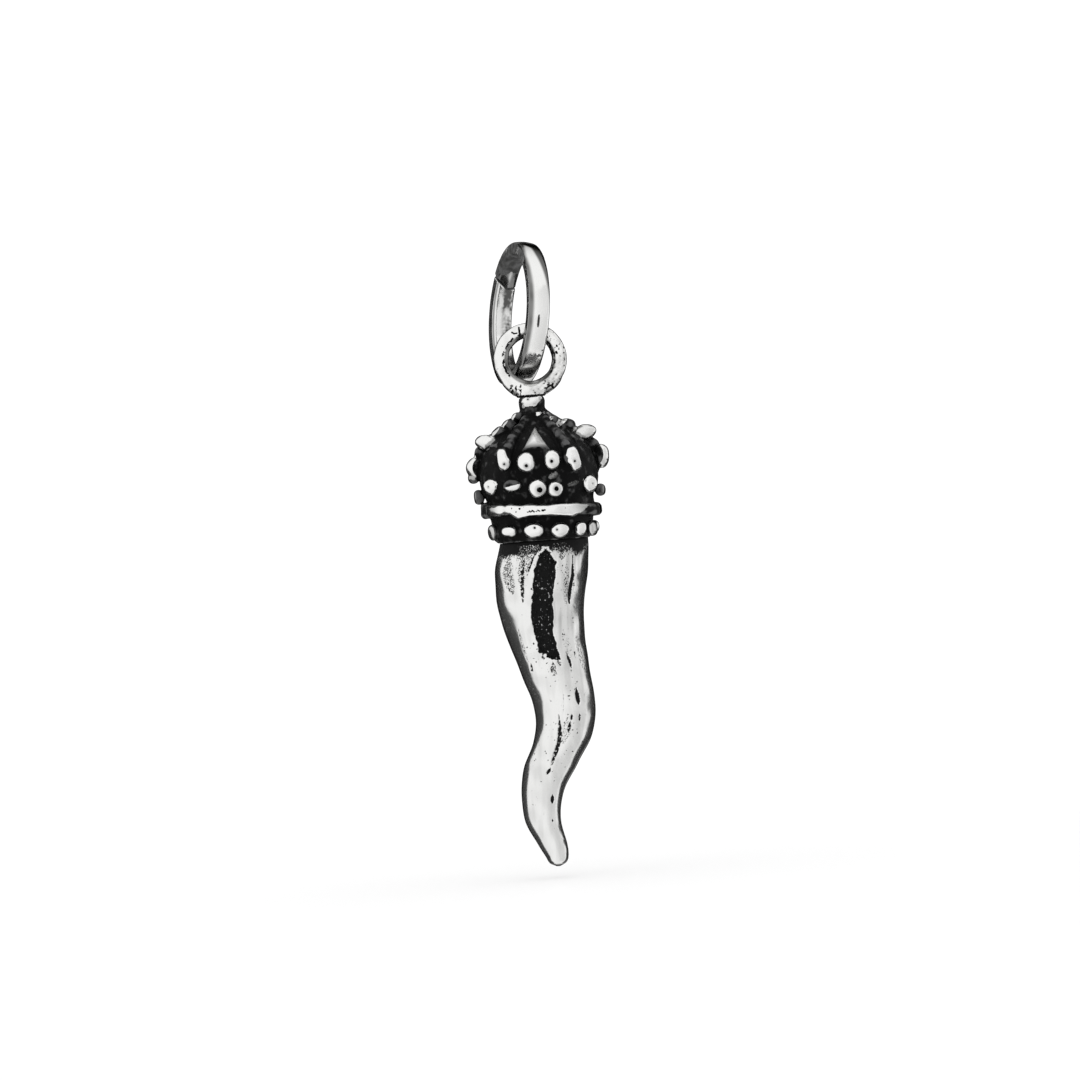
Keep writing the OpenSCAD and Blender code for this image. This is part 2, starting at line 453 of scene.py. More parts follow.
@dataclass
class Bead(Lump):
    """A cast bead whose outer face is rubbed flat and bright.

    Attributes:
        centre: Middle of the bead.
        outward: Direction in which its bright face looks.
        wide: Half its width across.
        tall: Half its height.
        deep: Half its depth, outwards.
        roll: Turn about the outward direction, in degrees.
        flat: Where the face is rubbed flat, as a share of the depth.
        bright: From where outwards it is polished, as a share of the depth.
        square: How square its outline is, from 2 for an oval upwards.
        pit: Radius of the pit in its face, or 0.
        pit_at: Place of the pit across and up, as shares of the half sizes.
        glow: How polished its face is.
        lit: Part of the face that is bright, as a direction across and up, or None for all.
        gloom: How much painted shade darkens its face.
        face_edge: Width of the soft edge round the rubbed face.
        pit_long: How round the pit is, seen from the side.
    """

    centre: Array
    outward: Array
    wide: float
    tall: float
    deep: float
    roll: float = 0.0
    flat: float = 0.82
    bright: float = 0.4
    square: float = 2.0
    pit: float = 0.0
    pit_at: tuple[float, float] = (0.1, -0.2)
    glow: float = 1.0
    lit: tuple[float, float] | None = None
    gloom: float = 0.0
    face_edge: float = 0.12
    pit_long: float = 0.8
    fillet: float = 0.09

    SURFACE = 1.25

    def __post_init__(self) -> None:
        """Works out the bead's own directions."""
        self._out = unit(self.outward)
        across = unit(np.cross(UP, self._out))
        up = np.cross(self._out, across)
        turn = math.radians(self.roll)
        self._across = math.cos(turn) * across + math.sin(turn) * up
        self._up = -math.sin(turn) * across + math.cos(turn) * up
        self._size = np.array([self.wide, self.tall, self.deep])

    def local(self, points: Array) -> Array:
        """Gives points in the bead's own directions: across, up and out."""
        off = points - self.centre
        return np.stack([off @ self._across, off @ self._up, off @ self._out], axis=-1)

    def _span(self, own: Array) -> Array:
        """Gives how far out points lie, as a share of the bead's half sizes.

        Args:
            own: Points in the bead's own directions.

        Returns:
            The shares, which are 1 on the bead's surface.
        """
        share = np.abs(own / self._size)
        if self.square == 2.0:
            return np.linalg.norm(share, axis=-1)
        outline = (share[..., 0] ** self.square + share[..., 1] ** self.square) ** (1 / self.square)
        return np.hypot(outline, share[..., 2])

    def _from_pit(self, own: Array) -> Array:
        """Gives how far points lie from the pit's middle, across and up."""
        return own[..., :2] - np.array(self.pit_at) * self._size[:2]

    def distance(self, points: Array) -> Array:
        """Gives the distance of points from the bead.

        Args:
            points: An array whose last axis holds x, y and z.

        Returns:
            Distances, negative inside.
        """
        own = self.local(points)
        span = self._span(own)
        ball = span * (span - 1.0) / (np.linalg.norm(own / (self._size * self._size), axis=-1) + 1e-9)
        face = own[..., 2] - self.flat * self.deep
        solid = -blend_min(-ball, -face, self.face_edge)
        if self.pit > 0.0:
            hole = np.concatenate([self._from_pit(own), self.pit_long * face[..., None]], axis=-1)
            solid = np.maximum(solid, self.pit - np.linalg.norm(hole, axis=-1))
        return solid

    def shine(self, points: Array) -> Array:
        """Gives how polished the bead is: its outer face, apart from its pit.

        Args:
            points: An array whose last axis holds x, y and z.

        Returns:
            Values from 0 to 1.
        """
        own = self.local(points)
        share = own[..., 2] / self.deep
        glow = smoothstep(share, self.bright - 0.12, self.bright + 0.12) * (self._span(own) < self.SURFACE)
        if self.pit > 0.0:
            off = np.linalg.norm(self._from_pit(own), axis=-1)
            glow = glow * smoothstep(off, self.pit * 0.75, self.pit * 1.15)
        if self.lit is not None:
            side = own[..., 0] / self.wide * self.lit[0] + own[..., 1] / self.tall * self.lit[1]
            glow = glow * smoothstep(side, -0.05, 0.2)
        return glow * self.glow

    def shade(self, points: Array) -> Array:
        """Gives the painted shade on the bead: darker low on its face and round its pit.

        Args:
            points: An array whose last axis holds x, y and z.

        Returns:
            Values from 0 to 1.
        """
        own = self.local(points)
        low = smoothstep(-own[..., 1] / self.tall + 0.3 * own[..., 0] / self.wide, 0.1, 0.9)
        dark = self.gloom + 0.2 * low
        if self.pit > 0.0:
            off = np.linalg.norm(self._from_pit(own), axis=-1)
            dark = dark + 0.4 * fall(off, self.pit * 1.1, self.pit * 2.4)
        return (self._span(own) < self.SURFACE) * np.clip(dark, 0, 1)

    def reach(self) -> tuple[Array, Array]:
        """Gives the corners of the box that the bead lies in."""
        r = max(self.wide, self.tall, self.deep) * (1.0 if self.square == 2.0 else self.SURFACE)
        return self.centre - r, self.centre + r


@dataclass
class Pearl(Lump):
    """A smooth oval that stands up from an arch, polished on one side, which is set where its highlight
    falls: partly rubbing, partly a painted highlight.

    Attributes:
        centre: Its middle.
        half: Half its length, height and depth.
        tilt: How far its outer end is raised, in degrees.
        rubbed: Direction that the bright side looks in.
        bright: From where along that direction it is bright, as a share of the half sizes.
        hollow: A shift of the dark hollow that is left in the bright side, or None.
        gloom: How much painted shade darkens it.
    """

    centre: Array
    half: tuple[float, float, float]
    tilt: float
    rubbed: tuple[float, float, float] = (0.0, -0.75, 0.66)
    bright: float = -0.1
    hollow: tuple[float, float, float] | None = None
    gloom: float = 0.0
    fillet: float = 0.05

    def _local(self, points: Array) -> Array:
        """Gives points as shares of the half sizes along the pearl's own directions.

        Args:
            points: An array whose last axis holds x, y and z.

        Returns:
            The shares along, to the back and up.
        """
        turn = math.radians(self.tilt)
        along = np.array([math.cos(turn), 0.0, math.sin(turn)])
        up = np.array([-math.sin(turn), 0.0, math.cos(turn)])
        off = points - self.centre
        return np.stack([off @ along, off[..., 1], off @ up], axis=-1) / self._size()

    def _size(self) -> Array:
        """Gives the half sizes along, to the front and up."""
        return np.array([self.half[0], self.half[2], self.half[1]])

    def distance(self, points: Array) -> Array:
        """Gives the distance of points from the pearl.

        Args:
            points: An array whose last axis holds x, y and z.

        Returns:
            Distances, negative inside.
        """
        own = self._local(points)
        span = np.linalg.norm(own, axis=-1)
        return span * (span - 1.0) / (np.linalg.norm(own / self._size(), axis=-1) + 1e-9)

    def shine(self, points: Array) -> Array:
        """Gives how polished the pearl is.

        Args:
            points: An array whose last axis holds x, y and z.

        Returns:
            Values from 0 to 1.
        """
        own = self._local(points)
        glow = smoothstep(own @ unit(np.array(self.rubbed)), self.bright - 0.15, self.bright + 0.15)
        if self.hollow is not None:
            from_hollow = (own - np.array(self.hollow))[..., [0, 2]]
            glow = glow * smoothstep(np.linalg.norm(from_hollow, axis=-1), 0.8, 0.95)
        return glow * (np.linalg.norm(own, axis=-1) < 1.25)

    def shade(self, points: Array) -> Array:
        """Gives the painted shade on the pearl: darker towards its lower side.

        Args:
            points: An array whose last axis holds x, y and z.

        Returns:
            Values from 0 to 1.
        """
        own = self._local(points)
        near = np.linalg.norm(own, axis=-1) < 1.2
        return near * (self.gloom + 0.3 * smoothstep(-own[..., 2], 0.0, 0.7))

    def reach(self) -> tuple[Array, Array]:
        """Gives the corners of the box that the pearl lies in."""
        r = max(self.half)
        return self.centre - r, self.centre + r


@dataclass
class Panel(Lump):
    """A triangular plate that leans on the dome, bright in its middle.

    Attributes:
        corners: The apex and the two lower corners.
        thick: Half the plate's thickness.
        polish: How polished its middle is.
    """

    corners: Array
    thick: float = 0.2
    polish: float = 1.0
    fillet: float = 0.12

    def __post_init__(self) -> None:
        """Works out the plate's own directions."""
        apex, left, right = self.corners
        self._normal = unit(np.cross(left - apex, right - apex))
        self._middle = self.corners.mean(axis=0)

    def _edges(self, points: Array) -> Array:
        """Gives how far points lie outside the nearest side of the triangle.

        Args:
            points: An array whose last axis holds x, y and z.

        Returns:
            Distances, negative inside the triangle.
        """
        worst = np.full(points.shape[:-1], -1e9)
        for i in range(3):
            a, b = self.corners[i], self.corners[(i + 1) % 3]
            side = unit(np.cross(b - a, self._normal))
            if (self._middle - a) @ side > 0:
                side = -side
            worst = np.maximum(worst, (points - a) @ side)
        return worst

    def _near(self, points: Array) -> Array:
        """Gives which points lie on the plate's face."""
        return np.abs((points - self._middle) @ self._normal) < self.thick * 1.8

    def distance(self, points: Array) -> Array:
        """Gives the distance of points from the plate."""
        off = np.abs((points - self._middle) @ self._normal) - self.thick
        return -blend_min(-off, -self._edges(points), 0.2)

    def shine(self, points: Array) -> Array:
        """Gives how polished the plate is: bright in the middle, fading to its edges."""
        return self.polish * self._near(points) * smoothstep(-self._edges(points), 0.0, 0.26)

    def shade(self, points: Array) -> Array:
        """Gives the painted shade on the plate: darker towards its edges and its lower side.

        Args:
            points: An array whose last axis holds x, y and z.

        Returns:
            Values from 0 to 1.
        """
        side = 1.0 - smoothstep(-self._edges(points), 0.1, 0.5)
        tall = self.corners[0, 2] - self.corners[1, 2]
        low = 1.0 - smoothstep(points[..., 2] - self.corners[1, 2], 0.12 * tall, 0.42 * tall)
        return 0.9 * self._near(points) * np.maximum(0.75 * side, low)

    def reach(self) -> tuple[Array, Array]:
        """Gives the corners of the box that the plate lies in."""
        return self.corners.min(axis=0) - self.thick, self.corners.max(axis=0) + self.thick


@dataclass
class Hoop(Lump):
    """A ring of squarish wire that faces the front, bevelled towards its hole.

    Attributes:
        centre: Middle of the hoop.
        radius: Radius of the wire's middle.
        wire: Half the wire's thickness.
        corner: Radius of the wire's rounded corners.
        bevel: Width of the bevel round the hole.
        bevel_lean: How far the bevel leans, in degrees.
    """

    centre: Array
    radius: float
    wire: float
    corner: float
    bevel: float = 0.36
    bevel_lean: float = 30.0
    fillet: float = 0.2

    def distance(self, points: Array) -> Array:
        """Gives the distance of points from the hoop.

        Args:
            points: An array whose last axis holds x, y and z.

        Returns:
            Distances, negative inside.
        """
        off = points - self.centre
        out, back = np.hypot(off[..., 0], off[..., 2]) - self.radius, off[..., 1]
        solid = rounded_bar(out, back, (self.wire, self.wire), self.corner)
        lean = math.radians(self.bevel_lean)
        far = (self.wire - self.bevel) * math.sin(lean) + self.wire * math.cos(lean)
        cut = -out * math.sin(lean) + np.abs(back) * math.cos(lean) - far
        return -blend_min(-solid, -cut, 0.05)

    def shine(self, points: Array) -> Array:
        """Gives how polished the hoop is."""
        return (self.distance(points) < 0.12).astype(float)

    def reach(self) -> tuple[Array, Array]:
        """Gives the corners of the box that the hoop lies in.

        Returns:
            The lowest and the highest corner.
        """
        wide = self.radius + self.wire
        half = np.array([wide, self.wire, wide])
        return self.centre - half, self.centre + half


@dataclass
class Casting:
    """A solid cast from lumps that flow into each other.

    Attributes:
        lumps: The forms, in the order in which they are joined.
        cell: Size of the cells that its mesh is made in.
        wobble: Unevenness of its surface.
    """

    lumps: list[Lump]
    cell: float
    wobble: Wobble

    REACH = 0.45
    SKIN = 0.1

    def field(self, points: Array) -> Array:
        """Gives the distance of scattered points from the casting.

        Args:
            points: Points, one a row.

        Returns:
            Distances, negative inside.
        """
        total = self.lumps[0].distance(points)
        for lump in self.lumps[1:]:
            near = lump.near(points, self.REACH)
            if near.any():
                total[near] = blend_min(total[near], lump.distance(points[near]), lump.fillet)
        return total + self.wobble.at(points)

    def grid(self) -> tuple[Array, Array]:
        """Gives the casting's field on a grid.

        Returns:
            The grid's lowest corner and the values on it.
        """
        reaches = [lump.reach() for lump in self.lumps]
        low = np.min([r[0] for r in reaches], axis=0) - 4 * self.cell
        high = np.max([r[1] for r in reaches], axis=0) + 4 * self.cell
        counts = np.ceil((high - low) / self.cell).astype(int) + 1
        axes = [low[k] + self.cell * np.arange(counts[k]) for k in range(3)]
        places = np.stack(np.meshgrid(*axes, indexing="ij"), axis=-1)
        total = self.lumps[0].distance(places)
        for lump, (lump_low, lump_high) in zip(self.lumps[1:], reaches[1:]):
            first = ((lump_low - self.REACH - low) / self.cell).astype(int)
            last = ((lump_high + self.REACH - low) / self.cell).astype(int) + 2
            here = tuple(slice(max(a, 0), min(b, n)) for a, b, n in zip(first, last, counts))
            total[here] = blend_min(total[here], lump.distance(places[here]), lump.fillet)
        return low, total + self.wobble.at(places)

    def mesh(self) -> tuple[Array, Array]:
        """Makes the casting's surface.

        Returns:
            The points and the four-sided faces.
        """
        low, values = self.grid()
        points, faces = surface_net(values)
        points = low + points * self.cell
        for _ in range(3):
            points = self.settle(relax(points, faces))
        return points, faces

    def settle(self, points: Array) -> Array:
        """Moves points onto the surface of the field.

        Args:
            points: Points near the surface.

        Returns:
            The moved points.
        """
        step = 0.01
        value = self.field(points)
        slope = np.empty_like(points)
        for k in range(3):
            shift = np.zeros(3)
            shift[k] = step
            slope[:, k] = (self.field(points + shift) - value) / step
        size = np.clip((slope * slope).sum(axis=1), 0.25, None)
        move = np.clip(value / size, -self.cell, self.cell)
        return points - move[:, None] * slope

    def mask(self, points: Array, kind: str) -> Array:
        """Gathers a mask from the lumps.

        Args:
            points: Points on the surface.
            kind: The name of the lumps' method.

        Returns:
            Values from 0 to 1.
        """
        total = np.zeros(len(points))
        for lump in self.lumps:
            near = lump.near(points, self.SKIN)
            if near.any():
                total[near] = np.maximum(total[near], getattr(lump, kind)(points[near]))
        return total


def surface_net(values: Array) -> tuple[Array, Array]:
    """Makes the surface where a grid of values changes sign.

    Args:
        values: The values on the grid, negative inside.

    Returns:
        The points in grid units and the four-sided faces.
    """
    inside = values < 0
    shape = tuple(n - 1 for n in values.shape)
    total = np.zeros(shape + (3,))
    count = np.zeros(shape)
    for axis in range(3):
        others = [k for k in range(3) if k != axis]
        for a in (0, 1):
            for b in (0, 1):
                first = [slice(None)] * 3
                last = [slice(None)] * 3
                for k, shift in zip(others, (a, b)):
                    first[k] = last[k] = slice(shift, shape[k] + shift)
                first[axis] = slice(0, shape[axis])
                last[axis] = slice(1, shape[axis] + 1)
                u, v = values[tuple(first)], values[tuple(last)]
                cross = (u < 0) != (v < 0)
                share = np.where(cross, u / np.where(cross, u - v, 1.0), 0.0)
                count += cross
                total[..., axis] += share
                total[..., others[0]] += a * cross
                total[..., others[1]] += b * cross
    used = count > 0
    index = np.full(shape, -1)
    index[used] = np.arange(used.sum())
    points = np.argwhere(used) + total[used] / count[used][:, None]
    faces = []
    for axis in range(3):
        b, c = (axis + 1) % 3, (axis + 2) % 3
        low = [slice(None)] * 3
        high = [slice(None)] * 3
        low[axis], high[axis] = slice(0, -1), slice(1, None)
        change = inside[tuple(low)] != inside[tuple(high)]
        at = np.argwhere(change)
        at = at[(at[:, b] > 0) & (at[:, c] > 0) & (at[:, b] < shape[b]) & (at[:, c] < shape[c])]
        ring = []
        for db, dc in ((-1, -1), (0, -1), (0, 0), (-1, 0)):
            cell = at.copy()
            cell[:, b] += db
            cell[:, c] += dc
            ring.append(index[cell[:, 0], cell[:, 1], cell[:, 2]])
        quads = np.stack(ring, axis=1)
        outward = inside[at[:, 0], at[:, 1], at[:, 2]]
        quads[~outward] = quads[~outward][:, ::-1]
        faces.append(quads)
    return points, np.concatenate(faces)


def middles(points: Array, faces: Array) -> Array:
    """Gives the middle of each point's neighbours.

    Args:
        points: The points of a mesh.
        faces: Its four-sided faces.

    Returns:
        The middles.
    """
    total = np.zeros_like(points)
    count = np.zeros(len(points))
    for k in range(4):
        a, b = faces[:, k], faces[:, (k + 1) % 4]
        for here, there in ((a, b), (b, a)):
            for axis in range(3):
                total[:, axis] += np.bincount(here, points[there, axis], len(points))
            count += np.bincount(here, minlength=len(points))
    return total / np.clip(count, 1, None)[:, None]


def relax(points: Array, faces: Array) -> Array:
    """Moves each point half way to the middle of its neighbours."""
    return 0.5 * points + 0.5 * middles(points, faces)


def ridges(points: Array, faces: Array, cell: float) -> Array:
    """Gives how ridged a surface is: positive where it stands out.

    Args:
        points: The points of a mesh.
        faces: Its four-sided faces.
        cell: Rough size of a face.

    Returns:
        The mean curvature at each point, roughly, in 1/mm.
    """
    corners = points[faces]
    face_normal = np.cross(corners[:, 2] - corners[:, 0], corners[:, 3] - corners[:, 1])
    normal = np.zeros_like(points)
    for k in range(4):
        for axis in range(3):
            normal[:, axis] += np.bincount(faces[:, k], face_normal[:, axis], len(points))
    normal /= np.linalg.norm(normal, axis=1)[:, None] + 1e-12
    bend = ((points - middles(points, faces)) * normal).sum(axis=1) * 4 / cell**2
    for _ in range(2):
        bend = middles(np.stack([bend] * 3, axis=1), faces)[:, 0]
    return bend


def make_piece(
    name: str, points: Array, faces: list | Array, masks: dict[str, Array]
) -> bpy.types.Object:
    """Makes a smooth-shaded mesh object.

    Args:
        name: The piece's name.
        points: Points in millimetres.
        faces: Faces as rows of point numbers.
        masks: Values at the points, each stored as a named attribute.

    Returns:
        The new object.
    """
    mesh = bpy.data.meshes.new(name)
    mesh.from_pydata((points * MM).tolist(), [], [list(map(int, f)) for f in faces])
    mesh.validate()
    for key, values in masks.items():
        layer = mesh.attributes.new(key, "FLOAT", "POINT")
        layer.data.foreach_set("value", np.asarray(values, np.float32))
    mesh.polygons.foreach_set("use_smooth", [True] * len(mesh.polygons))
    piece = bpy.data.objects.new(name, mesh)
    bpy.context.scene.collection.objects.link(piece)
    return piece


def tube_faces(rings: int, sides: int) -> list[list[int]]:
    """Gives the faces of a tube of rings of points, with its ends closed.

    Args:
        rings: Number of rings.
        sides: Points in a ring.

    Returns:
        The faces.
    """
    faces = []
    for k in range(rings - 1):
        for j in range(sides):
            a = k * sides + j
            b = k * sides + (j + 1) % sides
            faces.append([a, b, b + sides, a + sides])
    faces.append(list(range(sides))[::-1])
    faces.append([(rings - 1) * sides + j for j in range(sides)])
    return faces


class Tone(Enum):
    """How the oxide looks: how much of it is rubbed grey on ridges, partly as painted sheen, and how strong
    its bright flecks are.
    """

    RUBBED = (0.7, 0.12)
    FLECKED = (0.0, 1.0)


@dataclass(frozen=True)
class Silver:
    """A finish of oxidised silver.

    Attributes:
        name: The material's name.
        tone: How its oxide looks.
        polish: Linear colour of the polished metal.
        tarnish: Linear colour of darkened metal, for tarnished metal and painted shade.
        oxide: Linear colour of the oxide.
        worn: Linear colour of oxide rubbed grey, which partly stands for painted sheen.
        polish_rough: Roughness of the polished metal.
        oxide_rough: Roughness of the oxide.
        grain: Size of the oxide's grain in millimetres.
        ragged: How far the grain breaks the edge between metal and oxide.
        specks: Share of the polished metal that small black specks take.
        speck_pitch: Number of specks in a millimetre, roughly.
        bump: Height of the fine unevenness in millimetres.
        bump_pitch: Number of its lumps in a millimetre, roughly.
        oxide_gloss: Strength of the oxide's reflections.
    """

    name: str
    tone: Tone = Tone.RUBBED
    polish: tuple[float, float, float] = (0.80, 0.80, 0.79)
    tarnish: tuple[float, float, float] = (0.07, 0.07, 0.068)
    oxide: tuple[float, float, float] = (0.005, 0.005, 0.005)
    worn: tuple[float, float, float] = (0.13, 0.13, 0.13)
    polish_rough: float = 0.2
    oxide_rough: float = 0.5
    grain: float = 0.11
    ragged: float = 0.45
    specks: float = 0.1
    speck_pitch: float = 4.6
    bump: float = 0.004
    bump_pitch: float = 2.2
    oxide_gloss: float = 0.16

    def effects(self) -> dict[str, dict[str, float | tuple]]:
        """Gives the node groups that the finish uses, in order, with its own values.

        Returns:
            The values of each group's inputs, by the group's name.
        """
        soft, flecks = self.tone.value
        colours = {"Metal": self.polish, "Tarnish": self.tarnish, "Oxide": self.oxide, "Worn": self.worn}
        return {
            "patina": {"Grain": 1.0 / self.grain, "Ragged": self.ragged},
            "specks": {"Share": self.specks, "Pitch": self.speck_pitch},
            "rubbed": {"Soft": soft, "Flecks": flecks},
            "skin": {
                "Metal rough": self.polish_rough,
                "Oxide rough": self.oxide_rough,
                **{key: (*colour, 1.0) for key, colour in colours.items()},
            },
            "relief": {"Height": self.bump * MM, "Pitch": self.bump_pitch},
        }

    def dress(self, piece: bpy.types.Object) -> bpy.types.Object:
        """Makes the material and gives it to a piece.

        Args:
            piece: A mesh with the attributes polish, shade and wear.

        Returns:
            The same piece.
        """
        mat, tree, surface = new_material(self.name)
        metal = tree.nodes.new("ShaderNodeBsdfPrincipled")
        metal.inputs["Specular IOR Level"].default_value = self.oxide_gloss
        metal.inputs["Specular Tint"].default_value = (0.06, 0.06, 0.06, 1.0)
        sources = {"Place": tree.nodes.new("ShaderNodeTexCoord").outputs["Object"]}
        for key in ("polish", "shade", "wear"):
            node = tree.nodes.new("ShaderNodeAttribute")
            node.attribute_name = key
            sources[key.capitalize()] = node.outputs["Fac"]
        for name, values in self.effects().items():
            node = tree.nodes.new("ShaderNodeGroup")
            node.node_tree = shared_group(name)
            for key, value in values.items():
                node.inputs[key].default_value = value
            for socket in node.inputs:
                if socket.name in sources:
                    tree.links.new(sources[socket.name], socket)
            sources.update({socket.name: socket for socket in node.outputs})
        targets = {"Colour": "Base Color", "Rough": "Roughness", "Metallic": "Metallic", "Normal": "Normal"}
        for key, target in targets.items():
            tree.links.new(sources[key], metal.inputs[target])
        tree.links.new(metal.outputs["BSDF"], surface)
        piece.data.materials.append(mat)
        return piece


def new_material(name: str) -> tuple[bpy.types.Material, bpy.types.NodeTree, Socket]:
    """Makes an empty material.

    Args:
        name: The material's name.

    Returns:
        The material, its nodes and the socket that takes its shader.
    """
    mat = bpy.data.materials.new(name)
    mat.use_nodes = True
    tree = mat.node_tree
    tree.nodes.clear()
    return mat, tree, tree.nodes.new("ShaderNodeOutputMaterial").inputs["Surface"]


class Wiring:
    """Adds nodes to a node group and links them."""

    PER_MM = (1000.0, 1000.0, 1000.0)
    DASH = (1.0, 1.0, 0.55)

    # Noise values between which an effect sets in
    METAL_EDGE = (0.36, 0.6)
    RUB_AND_SHEEN_EDGE = (0.54, 0.84)
    FLECK_EDGE = (0.61, 0.7)
    SPECK_LEVEL = 0.86
    SPECK_SOFT = 0.05

    def __init__(self, group: bpy.types.NodeTree) -> None:
        """Starts with the group's own input and output.

        Args:
            group: The node group to fill.
        """
        self.group = group
        self.source = group.nodes.new("NodeGroupInput").outputs
        self.target = group.nodes.new("NodeGroupOutput").inputs

    def feed(self, value: object, target: Socket) -> None:
        """Links a socket, or sets a constant, on a target.

        Args:
            value: A socket or a constant.
            target: The input that takes it.
        """
        if isinstance(value, Socket):
            self.group.links.new(value, target)
        else:
            target.default_value = value

    def add(
        self, kind: str, feeds: dict[str | int, object], output: str | int, **settings: str
    ) -> Socket:
        """Adds a node.

        Args:
            kind: Its type, without the prefix.
            feeds: Sockets or constants for its inputs.
            output: The output to give.
            settings: Its other settings.

        Returns:
            Its output.
        """
        node = self.group.nodes.new("ShaderNode" + kind)
        for key, value in settings.items():
            setattr(node, key, value)
        for key, value in feeds.items():
            self.feed(value, node.inputs[key])
        return node.outputs[output]

    def math(self, kind: str, *values: object) -> Socket:
        """Adds a math node and gives its result."""
        return self.add("Math", dict(enumerate(values)), 0, operation=kind)

    def step(self, value: object, low: object, high: object) -> Socket:
        """Adds a smooth step from 0 to 1 between two values."""
        feeds = {"Value": value, "From Min": low, "From Max": high}
        return self.add("MapRange", feeds, "Result", interpolation_type="SMOOTHSTEP")

    def scaled(self, place: Socket, by: tuple[float, float, float]) -> Socket:
        """Adds a node that scales coordinates."""
        return self.add("VectorMath", {0: place, 1: by}, 0, operation="MULTIPLY")

    def place(self) -> Socket:
        """Gives the group's coordinates in millimetres."""
        return self.scaled(self.source["Place"], self.PER_MM)

    def noise(self, place: Socket, pitch: object, detail: float) -> Socket:
        """Adds a noise texture and gives its value."""
        return self.add("TexNoise", {"Vector": place, "Scale": pitch, "Detail": detail}, "Fac")

    def mix(self, share: object, a: object, b: object) -> Socket:
        """Adds a colour mix and gives its result."""
        return self.add("Mix", {"Factor": share, 6: a, 7: b}, 2, data_type="RGBA")


def wire_patina(w: Wiring) -> tuple[Socket, ...]:
    """Breaks the edge between metal and oxide with a grain.

    Args:
        w: The group's wiring.

    Returns:
        The ragged mask of the metal.
    """
    grain = w.noise(w.place(), w.source["Grain"], 3.0)
    swing = w.math("MULTIPLY", w.math("SUBTRACT", grain, 0.5), w.source["Ragged"])
    swung = w.math("ADD", w.source["Polish"], w.math("MULTIPLY", swing, 2.0))
    return (w.step(swung, *w.METAL_EDGE),)


def wire_specks(w: Wiring) -> tuple[Socket, ...]:
    """Strews small black specks over polished metal, thicker in patches.

    Args:
        w: The group's wiring.

    Returns:
        The mask of the specks.
    """
    place = w.place()
    fine = w.noise(place, w.source["Pitch"], 4.0)
    patch = w.math("SUBTRACT", w.noise(place, 0.55, 1.0), 0.5)
    need = w.math("SUBTRACT", w.SPECK_LEVEL, w.math("MULTIPLY", w.source["Share"], 1.2))
    value = w.math("ADD", fine, w.math("MULTIPLY", patch, 0.3))
    return (w.step(value, need, w.math("ADD", need, w.SPECK_SOFT)),)


def wire_rubbed(w: Wiring) -> tuple[Socket, ...]:
    """Rubs the oxide grey on its ridges, partly as painted sheen, and strews bright flecks over it.

    Args:
        w: The group's wiring.

    Returns:
        The mask of the rubbed oxide.
    """
    place = w.place()
    ridge = w.math("ADD", w.noise(place, 1.7, 3.0), w.math("MULTIPLY", w.source["Wear"], 0.3))
    soft = w.math("MULTIPLY", w.step(ridge, *w.RUB_AND_SHEEN_EDGE), w.source["Soft"])
    dash = w.noise(w.scaled(place, w.DASH), 7.5, 1.5)
    fleck = w.math("MULTIPLY", w.step(dash, *w.FLECK_EDGE), w.source["Flecks"])
    fleck = w.math("MULTIPLY", fleck, w.source["Wear"])
    return (w.math("MINIMUM", w.math("ADD", soft, fleck), 1.0),)


def wire_skin(w: Wiring) -> tuple[Socket, ...]:
    """Turns the masks into colour, roughness and metallic.

    Args:
        w: The group's wiring.

    Returns:
        The colour, the roughness and how metallic it is.
    """
    source = w.source
    bare = w.math("MULTIPLY", source["Polish"], w.math("SUBTRACT", 1.0, source["Specks"]))
    # Painted shade and tarnished tone darken the metal towards its dark colour.
    metal = w.mix(source["Shade"], source["Metal"], source["Tarnish"])
    oxide = w.mix(source["Rubbed"], source["Oxide"], source["Worn"])
    span = w.math("SUBTRACT", source["Metal rough"], source["Oxide rough"])
    rough = w.math("ADD", source["Oxide rough"], w.math("MULTIPLY", span, bare))
    return w.mix(bare, oxide, metal), rough, bare


def wire_relief(w: Wiring) -> tuple[Socket, ...]:
    """Makes fine unevenness, rougher in the oxide.

    Args:
        w: The group's wiring.

    Returns:
        The normal.
    """
    place = w.place()
    soft = w.noise(place, w.source["Pitch"], 1.0)
    rough = w.math("MULTIPLY", w.noise(place, 9.0, 3.0), w.math("SUBTRACT", 1.15, w.source["Polish"]))
    height = w.math("ADD", soft, w.math("MULTIPLY", rough, 1.5))
    return (w.add("Bump", {"Strength": 1.0, "Height": height, "Distance": w.source["Height"]}, "Normal"),)


SOCKET_KINDS = {
    **dict.fromkeys(("Place", "Normal"), "Vector"),
    **dict.fromkeys(("Colour", "Metal", "Tarnish", "Oxide", "Worn"), "Color"),
}
SKIN_INPUTS = "Polish,Specks,Rubbed,Shade,Metal rough,Oxide rough,Metal,Tarnish,Oxide,Worn"
GROUPS = {
    "patina": ("Place,Polish,Grain,Ragged", "Polish", wire_patina),
    "specks": ("Place,Share,Pitch", "Specks", wire_specks),
    "rubbed": ("Place,Wear,Soft,Flecks", "Rubbed", wire_rubbed),
    "skin": (SKIN_INPUTS, "Colour,Rough,Metallic", wire_skin),
    "relief": ("Place,Polish,Pitch,Height", "Normal", wire_relief),
}


